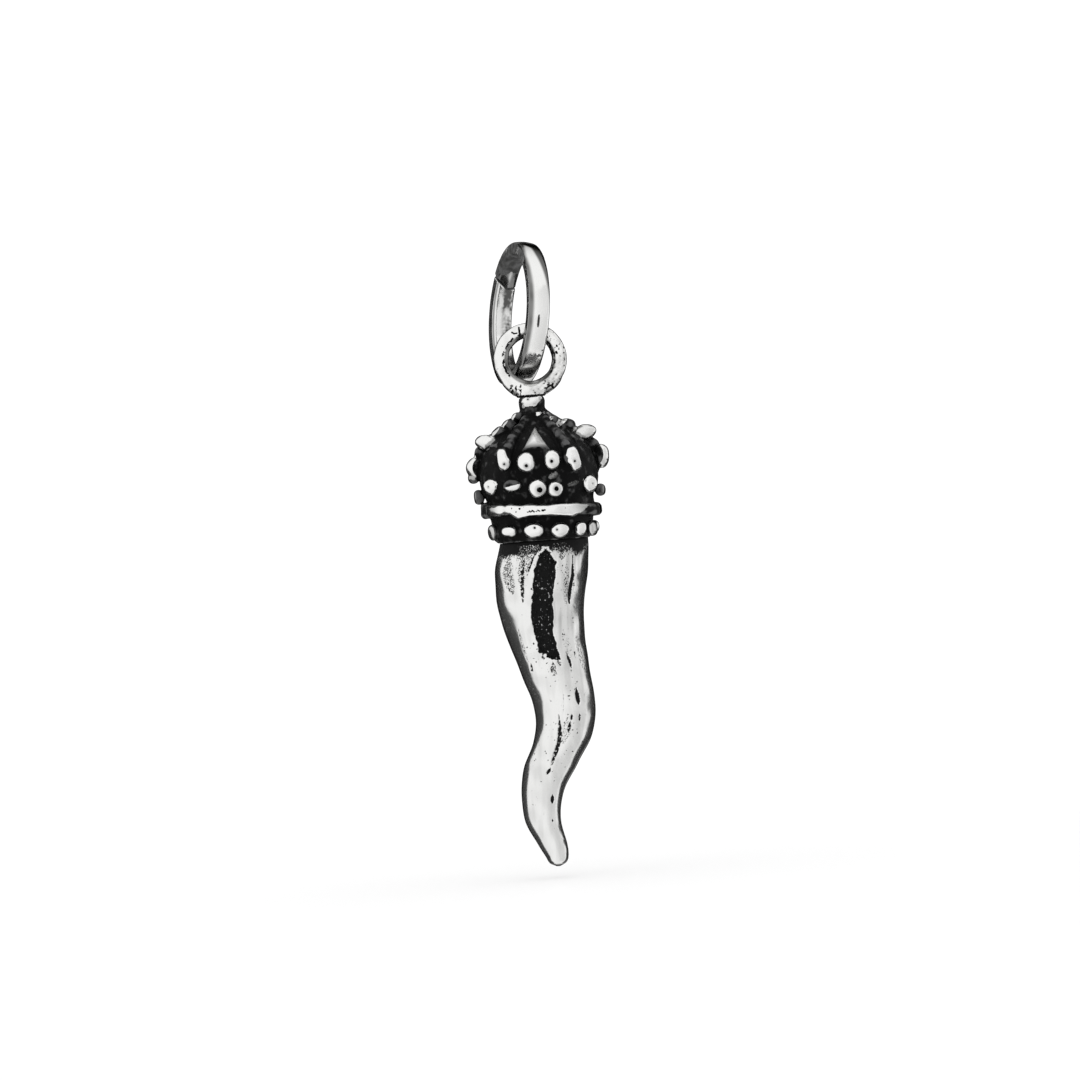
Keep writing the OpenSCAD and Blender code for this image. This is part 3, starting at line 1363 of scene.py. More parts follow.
def shared_group(name: str) -> bpy.types.NodeTree:
    """Gives a shader node group, which is made the first time that it is asked for.

    Args:
        name: The group's name.

    Returns:
        The group.
    """
    if name in bpy.data.node_groups:
        return bpy.data.node_groups[name]
    inputs, outputs, wire = GROUPS[name]
    group = bpy.data.node_groups.new(name, "ShaderNodeTree")
    for in_out, keys in (("INPUT", inputs), ("OUTPUT", outputs)):
        for key in keys.split(","):
            kind = "NodeSocket" + SOCKET_KINDS.get(key, "Float")
            group.interface.new_socket(name=key, in_out=in_out, socket_type=kind)
    w = Wiring(group)
    for value, target in zip(wire(w), w.target):
        w.feed(value, target)
    return group


LOOP_CENTRE = np.array([0.0178, -2.9307, -7.3360])


@dataclass
class JumpRing:
    """The open-jointed ring that the loop hangs from.

    Attributes:
        outer_r: Outside radius.
        thick: Thickness of the band, from the hole outwards.
        wide: Width of the band along the ring's axis.
        edge_r: Radius of the band's rounded edges.
        crowned: How far the band's faces bulge in their middle.
        turn: How far the ring's face is turned away from the viewer, in degrees.
        lean: How far its top leans to the right, in degrees.
        seam_turn: Where the seam is, in degrees from the top, away from the viewer.
        seam_gap: Width of the seam.
        seam_rise: How much higher the seam is at the band's left edge.
        end_r: Radius of the rounding at the band's ends.
        twist: How far the far limb is twisted under the seam, in degrees.
        twist_span: Where the twist starts and is whole, as shares of the way round.
        sink: How far the twisted limb is drawn in.
        rings: Number of sections round the ring.
        sides: Number of points in a section.
    """

    outer_r: float = 5.15
    thick: float = 1.05
    wide: float = 1.55
    edge_r: float = 0.24
    crowned: float = 0.1
    turn: float = 73.0
    lean: float = 7.6
    seam_turn: float = 62.5
    seam_gap: float = 0.035
    seam_rise: float = 0.66
    end_r: float = 0.14
    twist: float = 10.0
    twist_span: tuple[float, float] = (0.72, 0.82)
    sink: float = 0.1
    rings: int = 420
    sides: int = 96

    # Painted shade on the outer face: how far along the axis the dark crest band and the dark left band reach
    # at each turn.
    CREST = [
        (-30, 1.0), (5, 0.9), (18, 0.5), (26, 0.05), (36, -0.05), (45, -0.2), (55, -0.36), (68, -0.56),
        (84, -0.74), (100, -0.95),
    ]
    LEFT_EDGE = [
        (5, 0.0), (15, 0.32), (26, 0.5), (38, 0.6), (50, 0.54), (68, 0.44), (84, 0.42), (130, 0.46),
        (146, 0.8),
    ]

    # Places on the band: out from its middle, along the axis, and turns in degrees from the top.
    # Two edges are where a mark starts and is whole, and four also where it ends.
    FACES = (0.2, 0.38)
    SIDE = (0.68, 0.75)
    CORNER = ((0.62, 0.74), (0.26, 0.34))
    UPPER_TURNS = (35, 75)
    LOWER_TURNS = (-150, -130)
    FOOT_TURNS = (128, 145)
    DARK_BELOW = (-0.66, -0.4, 0.02, 0.3)
    DARK_BELOW_TURNS = (-90, -74)
    INNER_RIM = (0.5, 0.65)
    PATCH = (-0.66, -0.5, 0.3, 0.5)
    PATCH_TURNS = (121, 125, 130, 134)
    # A painted highlight along the inside of the top.
    STREAK = ((-50, 9), (-0.1, 0.1))
    SLIT = ((96, 5.5), (0.07, 0.09))
    SEAM_BLACK = (0.02, 0.05)

    def section(self) -> Array:
        """Gives the band's section: even points, out from its middle and along the ring's axis.

        Returns:
            Rows of the two distances.
        """
        half_out, half_along = self.thick / 2 - self.edge_r, self.wide / 2 - self.edge_r
        turn = np.linspace(0, 2 * math.pi, 720, endpoint=False)
        corner = np.stack([np.sign(np.cos(turn)) * half_out, np.sign(np.sin(turn)) * half_along], axis=1)
        outline = corner + self.edge_r * np.stack([np.cos(turn), np.sin(turn)], axis=1)
        closed = np.vstack([outline, outline[:1]])
        length = np.concatenate([[0], np.cumsum(np.linalg.norm(np.diff(closed, axis=0), axis=1))])
        stops = np.linspace(0, length[-1], self.sides, endpoint=False)
        out, along = (np.interp(stops, length, closed[:, k]) for k in (0, 1))
        out = out * (1 - self.crowned / (self.thick / 2) * (2 * along / self.wide) ** 2)
        return np.stack([out, along], axis=1)

    def mesh(self) -> tuple[Array, list[list[int]], dict[str, Array]]:
        """Makes the ring's points, faces and masks.

        Returns:
            The points, the faces and the masks by name.
        """
        lean, turned = math.radians(self.lean), math.radians(self.turn)
        up = np.array([math.sin(lean), 0.0, math.cos(lean)])
        sideways = math.cos(turned)
        across = np.array([sideways * math.cos(lean), -math.sin(turned), -sideways * math.sin(lean)])
        axis = np.cross(across, up)
        centre = -(self.outer_r - self.thick) * up
        mid = self.outer_r - self.thick / 2
        section = self.section()
        share = np.linspace(0, 1, self.rings)[:, None]
        gap = self.seam_gap / mid
        start = -math.radians(self.seam_turn) + gap / 2
        from_end = np.minimum(share, 1 - share) * 2 * math.pi * mid
        inset = self.end_r * np.clip(1 - from_end / self.end_r, 0, 1) ** 2
        shrink = 1 - inset * (share < 0.5) - 0.4 * inset * (share > 0.5)
        bent = smoothstep(share, *self.twist_span)
        skew = math.radians(self.twist) * bent
        flat_out, flat_along = section[None, :, 0] * shrink, section[None, :, 1] * shrink
        out = flat_out * np.cos(skew) - flat_along * np.sin(skew) - self.sink * bent
        along = flat_out * np.sin(skew) + flat_along * np.cos(skew)
        rise = self.seam_rise * smoothstep(along, -0.2, 0.75) / mid * (1 - smoothstep(from_end, 0.0, 2.5))
        angle = start + share * (2 * math.pi - gap) + rise
        spin = np.sin(angle)[..., None] * across + np.cos(angle)[..., None] * up
        points = centre + (mid + out)[..., None] * spin + along[..., None] * axis
        dents = Wobble(0.008, 1.9, seed=3).at(points)
        points = points - spin * (np.sign(out) * np.abs(dents))[..., None]
        polish, shade = self.looks(np.degrees(angle), flat_out, flat_along, points, from_end, share < 0.5)
        masks = {"polish": polish.ravel(), "shade": shade.ravel(), "wear": np.full(polish.size, 0.6)}
        return points.reshape(-1, 3), tube_faces(self.rings, self.sides), masks

    def looks(
        self, turn: Array, out: Array, along: Array, points: Array, from_end: Array, above: Array
    ) -> tuple[Array, Array]:
        """Gives how polished the ring is and how much painted shade darkens it.

        Args:
            turn: Degrees from the ring's top, towards the viewer.
            out: Distance out from the band's middle.
            along: Distance along the ring's axis, to the left.
            points: The places.
            from_end: Distance from the nearer end of the band.
            above: Which places lie on the seam's upper side of the ring.

        Returns:
            The two masks.
        """
        turn = np.broadcast_to((turn + 180) % 360 - 180, points.shape[:-1])
        everywhere = np.ones_like(turn)
        cloud = Wobble(0.5, 0.9, seed=31).at(points)
        fine = Wobble(0.5, 0.24, seed=32).at(points)
        inner = smoothstep(-out, *self.FACES) * everywhere
        outer = smoothstep(out, *self.FACES) * everywhere
        face = smoothstep(along, *self.SIDE)
        streak = blot(2, (turn, *self.STREAK[0]), (along, *self.STREAK[1]))
        high = above * fall(turn, *self.UPPER_TURNS)
        below = ~above * smoothstep(turn, *self.LOWER_TURNS)
        blurred = along + 0.12 * cloud + 0.07 * fine
        dark_below = 0.9 * smoothstep(turn + 8 * cloud, *self.DARK_BELOW_TURNS) + 0.35 + 0.5 * cloud + 0.3 * fine
        dark_below = window(blurred, *self.DARK_BELOW) * dark_below
        corner = smoothstep(along, *self.CORNER[0]) * smoothstep(np.abs(out), *self.CORNER[1])
        crest = smoothstep(turn, -60, -30) * smoothstep(table_at(turn, self.CREST) - along, -0.1, 0.12)
        left = smoothstep(turn, 0, 10) * smoothstep(along - table_at(turn, self.LEFT_EDGE), -0.1, 0.16)
        # Painted shade where reflections and shade fall dark: the top's inside, the rounded edges, the bottom
        # in the loop's hole and the two bands on the outer face. The patch under the seam and the side face's
        # cloud are darker tone.
        tarnish = (
            inner * high * (0.84 + 0.06 * cloud - 0.45 * streak),
            inner * below * np.clip(dark_below, 0, 0.95),
            inner * below * 0.3 * smoothstep(-along, *self.INNER_RIM),
            corner * np.where(turn > 0, 0.92, 0.84),
            face * np.clip(0.5 * cloud, 0, 0.4),
            (inner + face) * smoothstep(-turn, *self.FOOT_TURNS) * 0.8,
            outer * crest * 0.9,
            outer * left * (0.84 + 0.1 * cloud),
        )
        # The patch low on the outer face and the cover on the ring's top are painted dark reflection and
        # shade in the oxide colour, with the painted highlight kept bright. The slit, the side face's grains
        # and the seam are real dark marks.
        slant = turn - 7 * along
        patch = outer * window(slant, *self.PATCH_TURNS) * (0.5 + 1.1 * fine) * window(along, *self.PATCH)
        top = np.maximum(inner * high * smoothstep(turn, -52, -40), face * above * fall(turn, 28, 50))
        top = np.maximum(top, outer * fall(np.abs(turn), 10, 24) * 0.7)
        oxide = (
            blot(4, (turn, *self.SLIT[0]), (along, *self.SLIT[1])),
            np.clip(patch, 0, 1),
            face * fall(np.abs(turn - 62), 16, 32) * np.clip(0.1 + 0.9 * fine, 0, 0.7),
            top * np.clip(0.82 + 0.25 * cloud - 0.8 * streak, 0, 1),
            fall(from_end, *self.SEAM_BLACK) * everywhere,
        )
        return 1 - np.maximum.reduce(oxide), np.maximum.reduce(tarnish)

    def build(self) -> bpy.types.Object:
        """Makes the ring in its finish.

        Returns:
            The ring's piece.
        """
        # Dark grey oxide, which also paints the shade on the ring's top and the patch.
        oxide = (0.042, 0.042, 0.041)
        finish = Silver("ring_silver", oxide=oxide, specks=0.02, ragged=0.25, polish_rough=0.17)
        return finish.dress(make_piece("jump_ring_look", *self.mesh()))


@dataclass
class HangingLoop:
    """The cast eye and its flared foot.

    Attributes:
        mid_r: Radius of the wire's middle.
        wire: Half the wire's thickness.
        low: How far the foot's underside lies under the middle of the eye.
        offset: How far the foot's base lies off the eye's middle, to the right.
        marks: Short strokes on its face: their ends and half width.
    """

    mid_r: float = 2.0356
    wire: float = 0.525
    low: float = 2.6
    offset: float = -0.12
    marks: tuple[tuple[float, float, float, float, float], ...] = (
        (-1.14, 1.95, -0.97, 1.83, 0.06), (-0.97, 1.83, -0.78, 1.88, 0.055),
        (-0.62, 2.25, -0.6, 1.83, 0.07), (1.3, 1.5, 1.34, 1.4, 0.05),
        (1.86, 0.35, 1.9, 0.28, 0.08), (1.92, 0.8, 1.95, 0.74, 0.06),
    )

    # Where the face, the black foot, the dark shoulders, the line, the bevel and the hole's wall lie:
    # distances from the eye's middle plane, under its middle, to its sides and out from its hole
    FACE = (0.2, 0.35)
    FOOT = (2.36, 2.62)
    SHOULDER_OUT = (0.5, 0.8)
    SHOULDER_LOW = (1.45, 1.95)
    LINE_OUT = 0.26
    LINE_HALF = 0.1
    LINE_TURNS = (120, 140)
    BEVEL = (0.22, 0.34)
    WALL = (0.01, 0.08)

    def lumps(self) -> list[Lump]:
        """Gives the forms that the loop is cast from.

        Returns:
            The forms.
        """
        foot = []
        for side in (-1.0, 1.0):
            shoulder = LOOP_CENTRE + np.array([side * 1.73, 0.0, -1.55])
            ankle = LOOP_CENTRE + np.array([side * 1.1 + self.offset, 0.0, -2.25])
            foot.append(Rib(shoulder, ankle, 0.24, 0.22, 1.0, fillet=0.35))
        middle = LOOP_CENTRE + np.array([self.offset, 0.0, 0.0])
        base = Turned(middle, [(-1.95, 0.6), (-2.2, 0.74), (-2.42, 0.86), (-self.low, 0.93)], fillet=0.35)
        return [Hoop(LOOP_CENTRE, self.mid_r, self.wire, 0.34), *foot, base]

    def looks(self, points: Array) -> dict[str, Array]:
        """Gives the masks of the loop: the line round its hole, its marks, its dark foot, and the painted
        shade on its bevel, its hole's wall and its lower right.

        Args:
            points: Points on the loop.

        Returns:
            The masks by name.
        """
        x, y, z = (points - LOOP_CENTRE).T
        rho = np.hypot(x, z)
        hole = self.mid_r - self.wire
        front = smoothstep(np.abs(y), *self.FACE)
        fine = Wobble(0.5, 0.2, seed=41).at(points)
        cloud = Wobble(0.5, 0.8, seed=42).at(points)
        arc = np.abs(np.degrees(np.arctan2(x, z)))
        line = blot(4, (rho, hole + self.LINE_OUT - 0.05 * x + 0.03 * fine, self.LINE_HALF))
        line = line * front * fall(arc, *self.LINE_TURNS)
        side = smoothstep(np.abs(x + 0.05), *self.SHOULDER_OUT) * smoothstep(-z, *self.SHOULDER_LOW)
        covers = [
            smoothstep(-z, *self.FOOT),
            side * np.clip(0.42 + 0.9 * fine + 0.5 * cloud, 0, 0.75),
            line * np.clip(0.62 + 0.6 * cloud + 0.9 * fine, 0, 1),
            (x > 0) * front * smoothstep(fine, 0.35, 0.8) * 0.6,
        ]
        for x0, z0, x1, z1, half in self.marks:
            _, gap = from_line(np.stack([x, z], axis=1), np.array([x0, z0]), np.array([x1, z1]))
            covers.append(fall(gap, half * 0.5, half * 1.5) * (y < 0))
        bevel = fall(rho - hole, *self.BEVEL)
        wall = fall(rho - hole, *self.WALL)
        # Painted shade: the bevel and the hole's wall, which face inwards, and the lower right; the cloud
        # adds uneven tone.
        low_right = smoothstep(x - z, 1.2, 3.0) * (0.25 + 0.2 * fine)
        shade = 0.85 * bevel * (0.95 + 0.2 * cloud) + 0.2 * wall + 0.12 * cloud + low_right
        polish = 1 - np.maximum.reduce(covers)
        return {"polish": polish, "shade": np.clip(shade, 0, 1), "wear": np.zeros(len(points))}

    def build(self) -> bpy.types.Object:
        """Makes the loop in its finish.

        Returns:
            The loop's piece.
        """
        points, faces = Casting(self.lumps(), 0.055, Wobble(0.014, 1.1, seed=5)).mesh()
        finish = Silver("cast_silver", specks=0.13, polish_rough=0.24, bump=0.005)
        return finish.dress(make_piece("hanging_loop_look", points, faces, self.looks(points)))


@dataclass
class Crown:
    """The domed crown with its raised work.

    Attributes:
        top: How far the dome's top lies under the middle of the loop's eye.
        height: The crown's height.
        rim_r: Radius of the rim band.
        rim_deep: How far the rim band goes in.
        knee_r: Radius of the arches' middle at their knees.
        arch_r: Half the thickness of an arch.
        pad_out: How far the pads at the knees lie from the axis.
        bead_deep: Half the depth of a bead of the circlet or the base.
    """

    top: float = 3.7206
    height: float = 9.0
    rim_r: float = 4.25
    rim_deep: float = 0.8
    knee_r: float = 4.725
    arch_r: float = 0.34
    pad_out: float = 4.4
    bead_deep: float = 0.42

    BODY = [
        (0.00, 0.19), (0.05, 0.25), (0.10, 0.37), (0.16, 0.57), (0.22, 0.74), (0.29, 0.88),
        (0.37, 0.96), (0.45, 0.985), (0.53, 0.98), (0.60, 0.95), (0.65, 0.90), (0.69, 0.875),
        (0.76, 0.87), (0.835, 0.84), (0.88, 0.83), (0.95, 0.825), (0.98, 0.80), (0.998, 0.75),
    ]
    ARCH = [
        (0.02, 0.15), (0.075, 0.28), (0.13, 0.47), (0.20, 0.69), (0.28, 0.84), (0.38, 0.92), (0.47, 0.83)
    ]
    RIM = [
        (-90, 0.680, 0.792), (-70, 0.690, 0.792), (-59, 0.703, 0.784), (-32, 0.710, 0.782),
        (-27, 0.713, 0.806), (-24, 0.713, 0.817), (-12, 0.721, 0.802), (8, 0.728, 0.806),
        (31, 0.728, 0.828), (41, 0.735, 0.815), (56, 0.745, 0.817), (70, 0.742, 0.828), (90, 0.74, 0.828),
    ]
    RIM_PITS = [
        (-21, 0.743, 0.1), (-24.6, 0.766, 0.08), (-13, 0.773, 0.08), (-5, 0.774, 0.08), (-2, 0.772, 0.08),
        (1, 0.770, 0.1), (23.3, 0.766, 0.07), (-29, 0.735, 0.06), (-17, 0.735, 0.06), (-11.4, 0.766, 0.08),
        (-10, 0.774, 0.09), (-8.6, 0.766, 0.09), (-7, 0.775, 0.08), (-3.4, 0.766, 0.08), (3, 0.767, 0.09),
    ]
    COLLAR = [
        (-2.62, 0.78), (-2.75, 0.88), (-2.95, 0.92), (-3.2, 0.9), (-3.5, 0.84), (-3.75, 0.86), (-4.0, 0.95)
    ]
    # Pads at the knees: azimuth, row, half width, half height, roll, the pit's place, facing
    PADS = (
        (34.0, 0.388, 0.46, 0.86, 14.0, (-0.2, -0.2), 12.0),
        (-32.5, 0.358, 0.42, 0.78, 4.0, (0.4, -0.4), -12.0),
        (149.0, 0.38, 0.4, 0.84, -8.0, (0.1, 0.2), 0.0),
        (211.0, 0.37, 0.4, 0.84, 10.0, (0.0, -0.3), 0.0),
    )
    # Knees of the side arches: x, row, half length, height and depth, the dark hollow
    KNEES = (
        (-4.4, 0.4, (0.62, 0.76, 0.62), (0.56, 0.0, 0.05)),
        (4.44, 0.378, (0.6, 0.84, 0.62), (-0.6, 0.0, 0.1)),
    )
    # Pearls: x, row, half length, half height, tilt, where the bright side starts, gloom (painted shade)
    PEARLS = (
        (-1.24, 0.03, 0.42, 0.32, 35.0, 0.66, 0.1), (-1.78, 0.09, 0.64, 0.44, 28.0, 0.82, 0.2),
        (-2.46, 0.152, 0.68, 0.53, 25.0, 0.76, 0.2), (-3.38, 0.212, 0.92, 0.54, -14.0, -0.3, 0.0),
        (0.4, 0.036, 0.32, 0.24, -40.0, -0.2, 0.0), (0.86, 0.046, 0.34, 0.36, -30.0, 0.85, 0.3),
        (1.32, 0.09, 0.52, 0.42, 10.0, 0.8, 0.3), (2.16, 0.13, 0.7, 0.57, 10.0, 0.72, 0.0),
        (3.3, 0.190, 0.96, 0.57, 12.0, -0.35, 0.12),
    )
    # Studs under a panel: azimuth, row, half width, half height, the pit's place
    STUDS = ((-11.4, 0.391, 0.63, 0.68, (0.15, -0.35)), (13.4, 0.386, 0.57, 0.7, (-0.2, -0.15)))
    # Beads of the circlet: azimuth, row, half width, half height, the pit's radius and place, facing
    CIRCLET = (
        (-53.5, 0.558, 0.55, 0.54, 0.06, (0.0, 0.0), -24.0),
        (-2.4, 0.597, 0.62, 0.62, 0.2, (0.3, -0.2), 0.0),
        (15.2, 0.611, 0.55, 0.54, 0.17, (0.0, 0.0), 0.0),
        (57.0, 0.589, 0.6, 0.6, 0.05, (0.0, 0.0), 22.0),
    )
    # Beads of the base: azimuth, row, half width, half height, squareness, facing, gloom (painted shade)
    BASE = (
        (-71.0, 0.912, 0.5, 0.56, 2.0, -2.0, 0.35), (-40.0, 0.912, 0.6, 0.37, 3.0, -8.0, 0.0),
        (-9.8, 0.918, 0.7, 0.53, 2.0, 0.0, 0.0), (18.8, 0.93, 0.66, 0.52, 2.0, 0.0, 0.0),
        (45.0, 0.93, 0.46, 0.5, 2.4, 12.0, 0.0), (68.0, 0.936, 0.54, 0.52, 2.0, 8.0, 0.35),
        *((100.0 + 30 * k, 0.92, 0.58, 0.46, 2.0, 0.0, 0.0) for k in range(6)),
    )
    BASE_PITS = {2: (0.15, 0.35), 3: (-0.5, 0.1), 8: (-0.5, 0.1)}

    def body_r(self, row: float) -> float:
        """Gives the body's radius at a share of its height."""
        return self.rim_r * float(table_at(row, self.BODY))

    def z(self, row: float) -> float:
        """Gives a row's height over the middle of the loop's eye."""
        return -self.top - row * self.height

    def place(self, azimuth: float, row: float, out: float) -> Array:
        """Gives a place on the crown.

        Args:
            azimuth: Degrees round the axis from the front, towards the viewer's right.
            row: Its share of the crown's height.
            out: How far out from the axis.

        Returns:
            The place.
        """
        turn = math.radians(azimuth)
        return LOOP_CENTRE + np.array([out * math.sin(turn), -out * math.cos(turn), self.z(row)])

    def bead(self, azimuth: float, row: float, out: float, half: tuple, **looks: object) -> Bead:
        """Gives a bead on the crown.

        Args:
            azimuth: Where it is, in degrees from the front.
            row: Its share of the crown's height.
            out: How far its middle lies from the axis.
            half: Half its width, height and depth.
            looks: Other values of the bead; facing turns its face towards the front or back.

        Returns:
            The bead.
        """
        turn = math.radians(azimuth - looks.pop("facing", 0.0))
        outward = np.array([math.sin(turn), -math.cos(turn), 0.0])
        return Bead(self.place(azimuth, row, out), outward, *half, **looks)

    def raised(self, azimuth: float, row: float, rise: float, half: tuple, **looks: object) -> Bead:
        """Gives a bead whose middle stands so far out of the body."""
        return self.bead(azimuth, row, self.body_r(row) + rise, half, **looks)

    def body(self) -> list[Lump]:
        """Gives the dome, the rim band and the collar bead.

        Returns:
            The forms.
        """
        rows = [(self.z(row), self.rim_r * out) for row, out in self.BODY]
        dome = Turned(LOOP_CENTRE, [(-self.top + 0.4, 0.7), *rows])
        edges = [(turn, self.z(a), self.z(b)) for turn, a, b in self.RIM]
        pits = [(turn, self.z(row), size) for turn, row, size in self.RIM_PITS]
        band = Band(LOOP_CENTRE, self.rim_r, self.rim_deep, edges, (-63.0, 54.0), pits)
        collar = Turned(LOOP_CENTRE + np.array([-0.12, 0.0, 0.0]), self.COLLAR, fillet=0.12)
        # A polished spot on the collar's front that places its highlight: a painted highlight.
        spot = Bead(
            LOOP_CENTRE + np.array([-0.16, -0.5, -2.96]), np.array([-0.15, -1.0, 0.25]), 0.68, 0.38, 0.5,
            bright=0.35, flat=0.9, pit=0.07, pit_at=(-0.2, 0.1),
        )
        nub = Bead(
            LOOP_CENTRE + np.array([0.4, -0.55, -2.82]), np.array([0.2, -1.0, 0.3]), 0.26, 0.2, 0.4,
            bright=0.3, pit=0.06,
        )
        return [dome, band, collar, spot, nub, self.bead(-52, -0.055, 0.74, (0.2, 0.24, 0.2), gloom=0.6)]

    def arches(self) -> list[Lump]:
        """Gives the arches and the pads at their knees.

        Returns:
            The forms.
        """
        lumps: list[Lump] = []
        for k in range(6):
            stops = [self.place(30.0 + 60.0 * k, row, out * self.knee_r) for row, out in self.ARCH]
            lumps += [Rib(a, b, self.arch_r, self.arch_r) for a, b in zip(stops, stops[1:])]
        for azimuth, row, wide, tall, roll, pit_at, facing in self.PADS:
            looks = {"roll": roll, "square": 3.4, "pit": 0.09, "pit_at": pit_at, "facing": facing}
            lumps.append(self.bead(azimuth, row, self.pad_out, (wide, tall, 0.52), **looks))
        for x, row, half, hollow in self.KNEES:
            centre = LOOP_CENTRE + np.array([x, -0.15, self.z(row)])
            lumps.append(Pearl(centre, half, -5.0, (math.copysign(1.0, x), -0.2, 0.0), 0.0, hollow))
        # A dark pearl low on the left, bright only at its outer left edge as a painted highlight on its
        # outline.
        low = LOOP_CENTRE + np.array([-4.55, -0.1, self.z(0.475)])
        return [*lumps, Pearl(low, (0.42, 0.42, 0.4), 0.0, (-1.0, 0.0, -0.6), 0.75, gloom=0.6)]

    def pearls(self) -> list[Lump]:
        """Gives the pearls on the two arches at the sides.

        Returns:
            The forms.
        """
        lumps: list[Lump] = []
        for x, row, long, tall, tilt, bright, gloom in self.PEARLS:
            small = long < 0.8
            front = 0.8 if 0 < x < 0.6 else 0.3 + 0.1 * abs(x) + 0.22 * small
            # Small pearls are bright on their upper left as a painted highlight, and dark below.
            rubbed = (-0.45, -0.35, 0.82) if small else (-0.1, -0.75, 0.6)
            centre = LOOP_CENTRE + np.array([x, -front, self.z(row)])
            lumps.append(Pearl(centre, (long, tall, tall * 1.1), tilt, rubbed, bright, gloom=gloom))
        return lumps

    def panels(self) -> list[Lump]:
        """Gives the triangular panels and the pairs of studs under the front and back ones.

        Returns:
            The forms.
        """
        lumps: list[Lump] = []
        high = 0.118
        for k in range(6):
            azimuth, polished = 60.0 * k, k % 3 == 0
            low, sides = (0.302, (-16.0, 13.5)) if polished else (0.26, (-10.0, 9.0))
            apex = self.place(azimuth - 1, high, self.body_r(high) + 0.05)
            foot = [self.place(azimuth + side, low, self.body_r(low) + 0.06) for side in sides]
            lumps.append(Panel(np.array([apex, *foot]), polish=float(polished)))
        for half in (0.0, 180.0):
            for turn, row, wide, tall, pit_at in self.STUDS:
                looks = {"pit": 0.12, "pit_at": pit_at, "bright": 0.36, "square": 2.3}
                lumps.append(self.raised(half + turn, row, 0.14, (wide, tall, 0.5), **looks))
        return lumps

    def circlet(self) -> list[Lump]:
        """Gives the beads round the circlet, with a crescent and two small grey bumps.

        Returns:
            The forms.
        """
        deep = self.bead_deep
        lumps: list[Lump] = []
        for half in (0.0, 180.0):
            for azimuth, row, wide, tall, pit, pit_at, facing in self.CIRCLET:
                looks = {"bright": 0.32, "pit": pit, "pit_at": pit_at, "facing": facing}
                lumps.append(self.raised(azimuth + half, row, 0.12, (wide, tall, deep), **looks))
            out = self.body_r(0.57) + 0.14
            lumps.append(self.bead(half - 26.6, 0.562, out, (0.68, 0.42, deep), lit=(0.25, -1.0), bright=0.2))
        # The beads at the sides are darkened with painted shade.
        for azimuth, row, tall in ((-84.0, 0.63, 0.52), (80.0, 0.64, 0.42)):
            lumps.append(self.raised(azimuth, row, 0.42, (0.4, tall, deep), bright=0.5, gloom=0.8))
        high, low = {"glow": 0.5, "gloom": 0.8, "roll": 25.0}, {"glow": 0.46, "gloom": 0.85, "roll": 12.0}
        lumps.append(self.bead(13.7, 0.508, self.body_r(0.5) - 0.1, (0.36, 0.2, 0.22), **high))
        lumps.append(self.bead(35.0, 0.58, self.body_r(0.56) - 0.16, (0.5, 0.18, 0.22), **low))
        return lumps

    def base_row(self) -> list[Lump]:
        """Gives the row of beads round the base.

        Returns:
            The forms.
        """
        lumps: list[Lump] = []
        for k, (azimuth, row, wide, tall, square, facing, gloom) in enumerate(self.BASE):
            looks = {"bright": 0.3, "square": square, "facing": facing, "gloom": gloom}
            if k in self.BASE_PITS:
                looks |= {"pit": 0.07, "pit_at": self.BASE_PITS[k]}
            lumps.append(self.raised(azimuth, row, 0.14, (wide, tall, self.bead_deep), **looks))
        return lumps

    def build(self) -> bpy.types.Object:
        """Makes the crown in its finish.

        Returns:
            The crown's piece.
        """
        groups = (self.body, self.arches, self.pearls, self.panels, self.circlet, self.base_row)
        lumps = [lump for group in groups for lump in group()]
        cell = 0.078
        cast = Casting(lumps, cell, Wobble(0.016, 0.9, seed=7))
        points, faces = cast.mesh()
        # Ridges of the oxide are rubbed grey, partly as painted sheen.
        masks = {
            "polish": cast.mask(points, "shine"),
            "shade": cast.mask(points, "shade"),
            "wear": smoothstep(ridges(points, faces, cell), 0.8, 3.5),
        }
        finish = Silver("oxidised_silver", specks=0.04, ragged=0.2, bump=0.005)
        return finish.dress(make_piece("crown_look", points, faces, masks))


@dataclass(frozen=True)
class Stroke:
    """A mark along the horn: a groove, a slot or a pit.

    Attributes:
        line: Points along and across the horn, as shares of its length and half width.
        half: Half its width.
        deep: Its depth.
        broken: How much it is broken up into dots.
        dark: How black it is.
    """

    line: tuple[tuple[float, float], ...]
    half: float
    deep: float = 0.06
    broken: float = 0.0
    dark: float = 1.0


